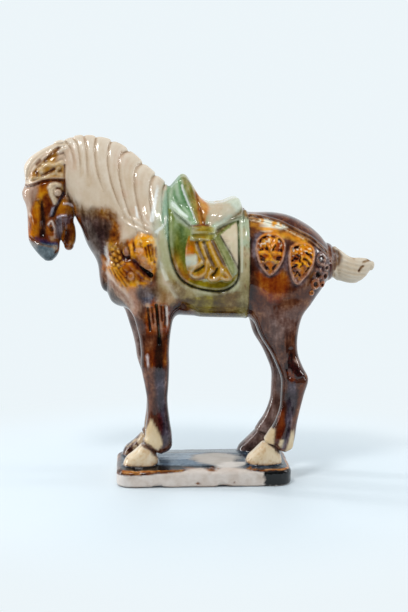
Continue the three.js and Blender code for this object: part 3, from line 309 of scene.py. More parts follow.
EAR = (([(-89.9,176.9),(-89.3,175.6)], 1.5, 1.0), ([(-88.6,179.2),(-85.9,179.8),(-82.0,179.4),(-78.3,180.6)], 1.1, .8), ([(-95.2,171.9),(-91.5,172.4),(-86.5,173.0),(-82.3,174.6),(-80.0,177.4)], .9, .6), ([(-80.2,174.2),(-78.6,173.8)], 1.1, .7),
       ([(-89.0,173.6),(-86.0,175.0),(-82.6,176.8)], .9, -.9), ([(-87.5,182.0),(-85.0,184.0),(-81.9,186.8),(-80.0,188.4)], 1.0, -.9), ([(-92.0,179.4),(-90.0,181.6)], .8, -.6), ([(-92.2,175.6),(-91.6,173.6)], .7, -.5))
LOCKS = [curve(c, 3) for c in ([(-75.8,191.4),(-82.3,189.4),(-89.4,185.3),(-94.8,180.3),(-97.2,175),(-97.4,170.5)],[(-76.8,189.2),(-82.3,187.8),(-87.8,184.6),(-92.6,180.2),(-95.2,176.4),(-96.2,172.5)],[(-78,185.6),(-82,184),(-86,181.6),(-90.4,178.2),(-93.6,174.6)])]
LID = curve([(-85.0,166.9),(-83.8,168.2),(-81.8,168.6),(-79.8,167.9)], 3)
LIDLOW = curve([(-84.5,166.2),(-83.8,163.2),(-82.7,160.6),(-81.8,158.4)], 3)
MOUTH = curve([(-77.6,146.6),(-78.2,142.3),(-78.9,137.8),(-80.5,133.0),(-82.6,130.4)], 3)
NOSTRIL = curve([(-86.0,146.2),(-84.2,148.3),(-83.3,146.4),(-82.5,142.9),(-82.4,138.8)], 3)
HEADSTRAP = curve([(-75.4,151.2),(-77.6,150.9),(-79.4,150.0),(-81.6,149.4)], 3)
SWEEP = [curve(r, 3) for r in ([(-43.5,154.6),(-41.3,150.9),(-34.7,147.2),(-27.3,143.8)], [(-45.1,150.2),(-42.1,147.2),(-36.9,145.0),(-31.0,142.3)], [(-33.5,152.4),(-31.5,148.4),(-27.3,144.8),(-23.6,146.0),(-21.0,151.6)])]
CREST_AT = np.array([-86, -79.5, -73, -66.2, -59.2, -50.4, -41.3, -33, -25.4, -19.5])


def mane_grid(x, z):
    top = 195.4-0.0125*(x+66)**2*np.where(x > -66, 1, .6)
    top = np.where(x > -45, 189.2-(x+45)*0.80, top)
    d = np.maximum(top-z, 0)
    xc = x.copy()
    for _ in range(6):
        a = np.interp(xc, [-86, -78, -71, -64, -59, -51.6, -41, -32.6, -25, -19], [11., 8.5, 4.2, .8, -1.5, -3.2, -7.2, -6.4, -5.2, -4])
        late = np.interp(xc, [-68, -60, -41, -32, -25], [0, 8.5, 8.2, 6.5, 4.5])*(np.minimum(d, 40)/35)**2.5
        xc = x-(a*(1-np.exp(-d/6.))+late)
    return xc, d


def mane(x, z):
    xc, d = mane_grid(x, z)
    C = CREST_AT
    i = np.clip(np.searchsorted(C, xc)-1, 0, len(C)-2)
    ph = np.clip((xc-C[i])/(C[i+1]-C[i]), 0, 1)
    inside = (xc > C[0]) & (xc < C[-1])
    lim = np.interp(xc, [-86, -78, -64, -55, -47, -38, -31, -19], [14, 20, 29, 37, 43, 44, 41, 36])
    fade = sstep(1, 0, (d-lim*0.62)/(lim*0.42))
    wide = C[i+1]-C[i]
    edge = np.minimum(ph, 1-ph)*wide
    soft = sstep(-50, -66, xc)
    pillow = (.50-.18*soft)*(1-np.abs(2*ph-1)**2.4)+(.37-.14*soft)*ph*sstep(0, 1.0, (1-ph)*wide)
    cut = -(.28-.08*soft+(.42-.2*soft)*sstep(9, 2, d))*ridge(edge, .7)
    fine = 0.03*np.cos(ph*wide*2*np.pi/2.3)*sstep(.6, 1.6, edge)
    hd = sstep(-79.5, -75.5, x+.25*(z-186))
    return np.where(inside, (pillow-.3+cut+fine)*fade*hd, 0), ph


def tapered(x, z, pts, w0, w1): return plate(taper(x, z, pts, w0, w1), .4)


def relief(P, plain=False):
    x, y, z = P.T
    ay = np.abs(y)
    far = y > 0
    h = np.zeros(len(x))
    m = (x < -12) & (x > -92) & (z > 135)
    if m.any():
        h[m] += mane(x[m], z[m])[0]
        for r in SWEEP: h[m] += .35*ridge(line(x[m], z[m], r), .8)
    m = (x > -28) & (x < 28) & (z > 84)
    if m.any():
        X, Z, Y = x[m], z[m], ay[m]
        o = 0.8*plate(poly(X, Z, BLANKET), np.where(X > 18, .45, 2.4))
        dp = line(X, Z, PANEL)
        o += -np.interp(Z, [112, 130, 142], [1.25, 1.0, .7])*ridge(dp, .62)+0.25*ridge(dp-1.9, 1.1)*(Z < 158)+.5*ridge(line(X, Z, RIM_R), .6)
        o += -.45*ridge(line(X, Z, [(7.6,143.0),(14.2,150.0),(21.0,154.6)]), 1.4)
        o += 0.30*ridge(line(X, Z, [(24.0,156),(23.6,116),(23.2,95)]), .8)
        dd = poly(X, Z, DRAPE)
        o += 1.5*plate(dd, .6)*sstep(158, 150, Z)+0.5*ridge(dd+.7, .7)*sstep(160, 156, Z)
        for f in DRAPEFOLD: o += 0.5*ridge(line(X, Z, f), 1.2)
        o += 0.8*plate(poly(X, Z, FLAP), .7)*sstep(176, 170, Z)
        o += .7*ridge(line(X, Z, POMMEL_RIB), .9)-.45*ridge(line(X, Z, POMMEL_CREASE), 1.0)
        o += -0.7*ridge(line(X, Z, SEATFOLD), .8)
        dc = poly(X, Z, CLOTH)
        cm = plate(dc, .5)
        o += .9*cm
        for r in RIBS: o += .75*ridge(line(X, Z, r), 1.05)*cm
        for r in FURROWS: o += -.45*ridge(line(X, Z, r), .6)*cm
        for r in CURLS: o += 1.0*ridge(line(X, Z, r), 1.1)*plate(dc-.5, .5)
        for r in SLITS: o += -1.1*ridge(line(X, Z, r), .6)
        o += .7*plate(line(X, Z, STRAP)-1.9, .5)
        o += 1.5*plate(poly(X, Z, BAND), .9)
        h[m] += o*sstep(4, 9, Y)
    m = (x > 24) & (z > 104) & (z < 155)
    if m.any():
        X, Z, Y = x[m], z[m], ay[m]
        o = np.zeros(len(X))
        dcr = line(X, Z, CRUPPER)
        o += 0.75*plate(dcr-1.5, .4)-0.6*ridge(dcr, .5)
        for outline, (cx, cz), pits, lobes in PLAQUES:
            sd = poly(X, Z, outline)
            ins = plate(sd+1.5, .5)
            # a leaf plaque: a rim, a leaf of soft lobes about a stem, and dark pits between them
            o += 1.1*plate(sd, .55)+0.35*ridge(sd+.8, .6)*(sd < .3)-.35*ridge(sd+2.0, .6)*(sd < 0)
            lf = np.maximum.reduce([ridge(line(X, Z, r), .95) for r in lobes])
            o += ins*(.75*lf-.25)
            u, v = X+.55*noise(X*.8, Z*.8, X*0, 51), Z+.55*noise(X*.8, Z*.8, X*0, 52)
            pt = np.maximum.reduce([plate(taper(u, v, r, .25, .62), .4) for r in pits])
            o += -1.0*pt*ins+.20*noise(X*.75, Z*.75, X*0, 53)*ins
            o += ins*.55*plate(np.hypot(X-cx, (Z-cz+1.2)*.55)-.75, .5)
        for (cx, cz, r) in RINGS:
            d = np.hypot(X-cx, (Z-cz)*.86)+.35*noise(X*.5, Z*.5, X*0, 54)
            o += 0.8*plate(d-r, .5)+0.35*ridge(d-r+.6, .5)-0.95*plate(d-r*.42, .45)
        h[m] += o*sstep(5, 9, Y)
    m = (x > -58) & (x < -18) & (z > 104) & (z < 152)
    if m.any():
        X, Z, Y = x[m], z[m], ay[m]
        sd = poly(X, Z, FAN)
        o = .95*plate(sd, 1.3)+.30*cloud(X*.45, Z*.45, X*0, 33, 2)*plate(poly(X, Z, [(-53,134),(-40,139),(-26,139),(-28,118),(-44,112),(-53,122)]), 2.)
        for pts, w, a in FAN_CUTS: o += -a*.85*ridge(line(X, Z, pts), w+.5)
        o += -1.7*tapered(X, Z, SLOT, .1, 1.2)-.7*ridge(line(X, Z, CREASE), .7)+.9*ridge(line(X, Z, BAR), .9)
        for pts, w, a in SPRAY: o += a*.6*ridge(line(X+.5*noise(X*.3, Z*.3, X*0, 59), Z, pts), w)
        for (cx, cz, r) in KNOBS: o += 0.45*plate(np.hypot(X-cx, Z-cz)-r+.35*noise(X*.6, Z*.6, X*0, 58), .9)
        for (cx, cz, p, q) in OVALS:
            dv = np.hypot(X-cx+.12*(Z-cz), (Z-cz)*p/q)
            o += .7*plate(dv-p, .6)-.45*ridge(dv-p-.6, .6)
        o += .22*np.cos((X+.5*Z)*2*np.pi/2.4)*plate(poly(X, Z, [(-52,137),(-45,137),(-45,131),(-52,129)]), 1.)
        h[m] += o*sstep(5, 9, Y)
    m = (x > -36) & (x < -18) & (z > 76) & (z < 106)
    if m.any():
        X, Z, Y = x[m], z[m], ay[m]
        o = np.zeros(len(X))
        for pts, w, a in LEGG: o += -a*ridge(line(X, Z, pts), w)
        h[m] += o*sstep(14, 17, Y)
    m = (x < -68) & (z > 122)
    if m.any():
        X, Z, Y = x[m], z[m], ay[m]
        sw = sstep(2.2, 5, Y)
        dch = line(X, Z, CHEEK)
        o = -1.5*ridge(dch, .75)*sw*sstep(172, 166, Z)-.7*ridge(dch, .7)*sw*sstep(166, 172, Z)
        db = line(X, Z, BROW)
        o += (0.75*ridge(line(X, Z-.6, BROW), .8)-0.95*ridge(line(X, Z+1.0, BROW), .75))*sw
        # ear, laid forward along the side of the head: a long leaf with a hollow
        eu, el = line(X, Z, EARUP), line(X, Z, EARLO)
        ear = poly(X, Z, EARUP+EARLO[::-1])
        o += (.9*plate(ear-.4, 1.0)-.35*plate(ear+1.2, 1.))*sw
        for pts, w, a in EAR: o += a*ridge(line(X, Z, pts), w)*sw
        for c in LOCKS: o += -.5*ridge(line(X, Z, c), .75)*sstep(.5, 3, Y)
        for c in LOCKS: o += .3*ridge(line(X+1.1, Z-1.3, c), 1.1)*sstep(.5, 3, Y)
        # eye: a ball under two lids
        de = np.hypot(X+80.4, Z-164.0)
        o += (1.3*plate(de-1.8, .7)-.45*ridge(de-2.5, .45))*sw
        o += .75*ridge(line(X, Z, LID), .9)*sw+.75*ridge(line(X, Z, LIDLOW), 1.2)*sw
        # hollow of the cheek, nose bone, nostril, lips, lower jaw
        o += -1.2*ridge(line(X, Z, [(-91.4,159.5),(-89.3,154.9),(-88.9,148.3),(-89.3,141)]), 1.3)*sstep(3, 6, Y)
        o += .5*ridge(line(X, Z, [(-95,160),(-94.2,152),(-94,144)]), 1.8)*sstep(2, 5, Y)
        dn = line(X, Z, NOSTRIL)
        o += (1.1*ridge(dn, .75)+.9*plate(np.hypot((X+84.4)/1.0, (Z-142.6)/1.7)-2.7, 1.1))*sw
        o += -1.4*plate(np.hypot((X+84.3)/.9, (Z-143.6)/1.5)-1.0, .6)*sw
        o += .5*ridge(line(X, Z, [(-81.1,150.1),(-78.9,151.1),(-76.2,151.1)]), .7)*sw+.45*ridge(line(X, Z, [(-77.2,157.6),(-75.0,157.8),(-72.5,156.4)]), .7)*sw
        o += -1.7*ridge(line(X, Z, MOUTH), .62)*sw
        o += .55*ridge(line(X-1.25, Z, MOUTH[3:]), .6)*sw
        o += -.65*ridge(line(X, Z, [(-96.4,138.9),(-92.3,136),(-87.3,134.3),(-82.2,133.8)]), .65)*sw
        o += .7*ridge(line(X, Z, HEADSTRAP), .6)*sw
        o += -.7*ridge(line(X, Z, [(-73.4,149.2),(-75.8,145.6),(-76.4,140.6),(-75.6,136.6)]), .9)*sw
        h[m] += o
    m = (x > 66) & (z > 105) & (z < 140)
    if m.any():
        X, Z = x[m], z[m]
        q = np.hypot((X-91)*.8, Z-137)
        h[m] += (.09*np.cos((q+1.0*noise(X*.12, q*.2, X*0, 30))*2*np.pi/2.1)+.08*cloud(X*.16, q*1.1, X*0, 31, 2))*sstep(73, 78, X)*sstep(99, 92, X)
        for cut in TIPCUTS: h[m] += -.45*ridge(line(X, Z, cut), .7)
        h[m] += -.5*ridge(line(X, Z, [(74.6,134),(73.2,128),(73.6,120),(75,113)]), 1.0)
        h[m] += .3*ridge(line(X, Z, [(76.4,134),(75.0,128),(75.4,120),(76.8,113)]), 1.1)
    m = (z > 13) & (z < 27)
    if m.any():
        X, Z = x[m], z[m]
        o = np.zeros(len(X))
        for pts in ([(-35.5,23.4),(-29.5,19.9),(-24.6,15.2)], [(34.4,22.8),(39.5,20.6),(45.4,16.2)]):
            o += -1.0*ridge(line(X, Z, pts), .7)+.35*ridge(line(X-.8, Z-1.2, pts), .8)
        h[m] += o
    # hock fold and the tendon behind the cannon bone
    m = (x > 36) & (x < 62) & (z > 24) & (z < 84)
    if m.any():
        X, Z, Y = x[m], z[m], ay[m]
        o = -.8*ridge(line(X, Z, [(48.8,76.3),(47.6,71),(47.0,65.4),(48.0,61.4)]), 1.1)-.6*ridge(line(X, Z, [(48.4,60.4),(52.5,59.2),(57.8,60.6)]), .9)
        o += .5*plate(np.hypot(X-52.2, (Z-66.5)*.6)-2.2, 1.6)
        o += -.45*ridge(line(X, Z, [(49.4,55),(49.6,44),(47.6,32),(45.0,24)]), 1.3)
        h[m] += o*sstep(15, 17.5, Y)
    # the plinth's clay edge: knocks and an uneven lower arris
    m = (z < 12.6)
    if m.any():
        X, Z, Y = x[m], z[m], y[m]
        d2 = rim(X, Y)
        edge = sstep(-4, -1.0, d2)
        o = edge*(.16*cloud(X*.16, Y*.16, Z*.3, 5)+.06*cloud(X*.8, Y*.8, Z*.8, 9, 2))
        o -= edge*.55*sstep(1.6, 0., Z)*(.6+.4*noise(X*.12, Y*.12, Z*0, 3))
        for (cx, cz, r, q) in ((6.4, 9.9, 1.6, .5), (2.0, 10.3, 1.2, .3), (-3.7, 2.2, .7, .25), (-38, 9.9, 1.4, .3), (26, 9.9, 1.2, .3), (-25.6, -.2, 1.9, .9), (9.9, -.3, 2.2, 1.0)):
            dk = np.hypot((X-cx)*(.7+.3*noise(X*.9, Z*.9, Z*0, 4)), Z-cz)
            o -= q*plate(dk-r, 1.0)*(Y < -20)
        o += .16*cloud(X*.05, Y*.22, X*0, 41, 2)*sstep(-3, -7, d2)
        h[m] += o
    # the casting is a little uneven everywhere
    h = h+.07*cloud(x*.10, y*.10, z*.10, 21, 2)
    return h


def field(P):
    P = np.asarray(P, float)
    f = body(P)
    m = np.abs(f) < 3.2
    if m.any():
        f[m] -= relief(P[m])
    return f


# ---------------------------------------------------------------- surfacing
def surface(fn, lo, hi, cell, coarse=4):
    """One vertex in every grid cell that the surface crosses; only cells near it are worked out."""
    lo = np.array(lo, float); hi = np.array(hi, float)
    nb = np.ceil((hi-lo)/(cell*coarse)).astype(int)
    n = nb*coarse+1
    gx = [lo[k]+np.arange(nb[k]+1)*cell*coarse for k in range(3)]
    C = np.stack(np.meshgrid(*gx, indexing="ij"), -1).reshape(-1, 3)
    FC = fn(C).reshape(nb+1)
    V = np.full(n, 9., np.float32)
    m = np.full(nb, 1e9); mx = np.full(nb, -1e9)
    for a in (0, 1):
        for b in (0, 1):
            for c in (0, 1):
                s = FC[a:a+nb[0], b:b+nb[1], c:c+nb[2]]
                m = np.minimum(m, np.abs(s)); mx = np.maximum(mx, s)
    sg = np.sign(mx)
    near = m < cell*coarse*1.35+1.2
    # far blocks take the sign of their corners
    up = np.repeat(np.repeat(np.repeat(sg, coarse, 0), coarse, 1), coarse, 2)*9.
    V[:-1, :-1, :-1] = up
    nearn = np.zeros(n, bool)
    idx = np.argwhere(near)
    k = np.arange(coarse+1)
    off = np.stack(np.meshgrid(k, k, k, indexing="ij"), -1).reshape(-1, 3)
    for a in range(0, len(idx), 4000):
        q = (idx[a:a+4000, None]*coarse+off[None]).reshape(-1, 3)
        nearn[q[:, 0], q[:, 1], q[:, 2]] = True
    q = np.argwhere(nearn)
    val = np.empty(len(q))
    for a in range(0, len(q), 200000):
        val[a:a+200000] = fn(lo+q[a:a+200000]*cell)
    val[np.abs(val) < 1e-6] = 1e-6
    V[nearn] = val
    S = V < 0
    # cells that the surface crosses
    cnt = np.zeros(n-1, np.int8)
    for a in (0, 1):
        for b in (0, 1):
            for c in (0, 1):
                cnt += S[a:a+n[0]-1, b:b+n[1]-1, c:c+n[2]-1]
    act = (cnt > 0) & (cnt < 8)
    ids = np.full(n-1, -1, np.int64)
    cells = np.argwhere(act)
    ids[act] = np.arange(len(cells))
    acc = np.zeros((len(cells), 3)); num = np.zeros(len(cells))
    cor = np.array([[a, b, c] for a in (0, 1) for b in (0, 1) for c in (0, 1)])
    for i in range(8):
        for j in range(i+1, 8):
            d = cor[j]-cor[i]
            if np.abs(d).sum() != 1: continue
            pa = cells+cor[i]; pb = cells+cor[j]
            va = V[pa[:, 0], pa[:, 1], pa[:, 2]].astype(float); vb = V[pb[:, 0], pb[:, 1], pb[:, 2]].astype(float)
            cr = (va < 0) != (vb < 0)
            t = va[cr]/(va[cr]-vb[cr])
            acc[cr] += cor[i]+d*t[:, None]; num[cr] += 1
    P = lo+(cells+acc/num[:, None])*cell
    quads = []
    for ax in range(3):
        u = np.eye(3, dtype=int)[ax]
        p = np.eye(3, dtype=int)[(ax+1) % 3]; r = np.eye(3, dtype=int)[(ax+2) % 3]
        A = S[:n[0]-u[0], :n[1]-u[1], :n[2]-u[2]]; B = S[u[0]:, u[1]:, u[2]:]
        e = np.argwhere(A != B)
        e = e[(e[:, (ax+1) % 3] > 0) & (e[:, (ax+2) % 3] > 0) & (e[:, (ax+1) % 3] < n[(ax+1) % 3]-1) & (e[:, (ax+2) % 3] < n[(ax+2) % 3]-1)]
        g = lambda o: ids[tuple((e-o).T)]
        Q = np.stack([g(p+r), g(r), g(p*0), g(p)], 1)
        ins = S[e[:, 0], e[:, 1], e[:, 2]]
        Q[~ins] = Q[~ins][:, ::-1]
        quads.append(Q)
    return P, np.concatenate(quads)


def gradient(fn, P, e=.12):
    g = np.empty_like(P)
    for k in range(3):
        d = np.zeros(3); d[k] = e
        g[:, k] = (fn(P+d)-fn(P-d))/(2*e)
    return g


# ---------------------------------------------------------------- glazes
def rgb(r, g, b):
    c = np.array([r, g, b])/255.
    return np.where(c <= .04045, c/12.92, ((c+.055)/1.055)**2.4)


def seen(r, g, b):
    """Albedo of a glaze that has this sRGB colour in the studio light, its own gloss taken off."""
    return np.clip((rgb(r, g, b)-.022)/1.02, .0015, .9)


DEEP = seen(56, 36, 30)          # thick brown glaze
BROWN = seen(84, 52, 38)
CHESTNUT = seen(112, 72, 52)
HONEY = seen(140, 78, 18)
AMBER = seen(172, 100, 22)
GOLD = seen(208, 146, 44)
RED = seen(112, 50, 18)
CREAM = seen(214, 196, 172)
PALE = seen(228, 214, 194)
SAND = seen(192, 168, 138)
TAN = seen(150, 118, 84)
ROSE = seen(190, 158, 138)       # brown glaze so thin that the clay shows through
MAUVE = seen(138, 108, 94)
PLUM = seen(92, 74, 70)
JADE = seen(126, 160, 128)
DEEPJADE = seen(76, 112, 74)
PALEJADE = seen(178, 192, 168)
OLIVE = seen(136, 124, 58)
MUSTARD = seen(146, 126, 36)
MOSS = seen(84, 92, 44)
KHAKI = seen(112, 96, 54)
ORANGE = seen(204, 122, 44)
ICE = seen(198, 212, 204)
INK = seen(40, 50, 62)           # the plinth's blue-black glaze
CLAY = seen(216, 202, 193)
TEAL = seen(84, 102, 108)
BLACK = seen(24, 20, 20)

CREAM_POLY = [(-77.2,163.6),(-75.8,162.6),(-70.3,158.8),(-66,155.2),(-60.5,155.2),(-55,154.2),(-51.1,152.6),(-48.4,150.2),(-46.6,147.6),(-46.2,144.6),(-46.6,141.6),(-46.4,138.4),(-44.2,137.4),(-41.0,138.6),(-37,141.6),(-30.9,142.3),(-25.9,139.2),(-24.3,132.6),(-23.4,125.9),(-22.8,114.7),(-10,105),(-5,112),(-12,160),(-12,175),(-19,182),(-40,210),(-77,210)]
GOLD_POLY = [(-82.3,188.2),(-85.3,185),(-91.4,179),(-96.5,172.5),(-94.6,170.5),(-89.1,171.5),(-82,172.3),(-76.9,172.3),(-76.9,178.9),(-81.9,180.6),(-80.4,184),(-80.4,188.2)]
THROAT = [(-79.3,161.2),(-76,162.9),(-69.4,160.1),(-66.1,156.8),(-68.4,152.9),(-72.8,149.6),(-76.2,147.9),(-80.5,151.3)]
CHEST = [(-48.2,146.5),(-45.2,144.4),(-45.9,140.4),(-44.2,138.2),(-40.2,138.4),(-35.9,142),(-31.6,142.1),(-27.5,139.6),(-24.9,135.6),(-24.9,129.2),(-27,122.8),(-28.9,117.5),(-31.6,115),(-36.4,115),(-38.6,111.4),(-42.6,111.4),(-48.1,114.4),(-52.3,120),(-54.2,124),(-53.4,131.2),(-52.2,136.1),(-50.3,141.5)]
LOBE = [(-38.6,140.4),(-35.8,142.6),(-31.6,142.8),(-27,140),(-24.9,136),(-27.4,133.4),(-30.6,135.8),(-33.4,134.6),(-36,135.4),(-38.2,134.4)]
SMEAR = [(-37.2,131.0),(-34.2,131.2),(-32.2,128.8),(-30.6,126.4),(-29.0,124.4),(-28.6,122.2),(-30.2,121.3),(-33.0,123.6),(-35.8,126.8)]
SHOULDER = [(-29.9,121.2),(-24.4,122),(-19.9,112),(-12.7,103),(-12.6,96.5),(-22.5,98),(-30.2,103.6),(-33.4,112.4)]
INNER = [(-20,168),(-19.6,158),(-15.6,149.7),(-7.9,144.2),(-7.4,138.7),(-9.8,135.4),(-10.6,126.6),(-8,118.4),(0.3,116),(14.1,116.2),(17.6,120.5),(12.5,131),(6.6,141),(14,147.6),(19.6,149),(19,130),(18.6,117),(14,111.5),(5.8,109.6),(-8,112.2),(-16.8,123.3),(-19.5,133.3)]
CORNER = [(7.6,138.6),(9.2,141.6),(18.2,148.2),(18.9,144.1),(18.4,121.6),(16.9,122.6),(12.6,130.4)]
POMMEL_MID = [(-11.6,177),(-7.6,175.5),(-4.0,163.5),(-2.7,153.6),(-1.1,145.9),(-3.3,145.9),(-6.4,157),(-8.6,167)]
WARM = [(-5.2,169),(0.4,160.8),(3.1,155.9),(1.1,149.3),(0,145.4),(-2.2,146),(-3.6,155.9)]
SEAT = [(-1,163),(6.6,160.6),(13.3,160.1),(17.7,152.5),(8.8,148.1),(2.2,144.8),(1.1,152.6)]
CANTLE = [(12.2,160),(16.6,163),(22.1,163),(22.2,156.9),(17.8,151.3),(10,146.9),(4.5,144.8),(8.9,151.4)]
CLOTH_ICE = [(-11,130.4),(-7.4,131.6),(-4.2,130.4),(-4.0,126.4),(-6.6,121.8),(-10.2,122.5)]
CLOTH_ORANGE = [(-11.4,134.8),(-7.0,135.6),(-5.0,133.4),(-6.8,130.4),(-8.6,131.2),(-11.4,128.6)]
UNDERLEAF = [(28.6,122),(35,119.2),(39.5,120.9),(47.1,119.6),(46.4,110.8),(42.2,105.6),(36.4,104.8),(31.2,108.4)]
RUMP_GOLD = [(26,151.6),(32,150.4),(42,146.6),(57.7,138.6),(55.2,134.7),(47,139.8),(42.1,139.6),(35.4,142.3),(26,145.6)]
GLINT = [(31.2,149.6),(35.4,149.0),(41.4,147.4),(46.4,144.9),(42.0,144.2),(38.2,145.2),(36.6,142.8),(33.4,142.8),(31.4,144.6)]
NOSE = [(-90.4,166.5),(-87.1,167.6),(-86.1,164.3),(-89.0,162.1),(-90.6,157.7),(-91.0,151),(-92,144.3),(-92,139.9),(-98.6,138.4),(-99.4,144.3),(-96.4,152.1),(-93.6,158.8)]
BROW_MAUVE = [(-104,168.6),(-93.7,169.0),(-90.8,168),(-91.8,162.2),(-94.2,157.8),(-96.8,149.2),(-104,149)]
CHEEK_POLY = [(-79.0,160.4),(-75.6,158.6),(-76.6,152),(-80.7,149.4),(-84,146),(-81.6,154.4)]
KNEE = [(-32.4,79.9),(-30.4,88),(-24.0,99),(-21.4,97),(-21.2,84),(-21.8,71.3),(-22.4,67.4),(-31.4,67.6)]
HOCK = [(46.6,69.5),(50.4,74.4),(55.8,70.3),(59.3,62.3),(56.6,60.2),(50.3,57.2),(47.2,60.5)]
TENDON = [(45.4,41.5),(47.2,40),(46.6,32),(44.6,24),(41.4,21.6),(40.6,27),(43.4,34)]
PASTERN = ([(-29.9,37.6),(-27.3,33.1),(-24.5,28.3),(-23.2,23.0),(-25.9,19.6),(-34,22.4),(-32.4,31.3)], [(38.0,31.2),(40.2,30.4),(39.6,22.2),(33,23)], [(42.3,22.0),(42.7,25.2),(45.0,24.6),(43.5,20.4)], [(45.2,17.6),(46.6,19.0),(48.1,23.8),(49.5,29.9),(51.2,29.0),(51.2,17.6)])


def mix(a, b, t):
    return a+(b-a)*np.clip(t, 0, 1)[:, None]


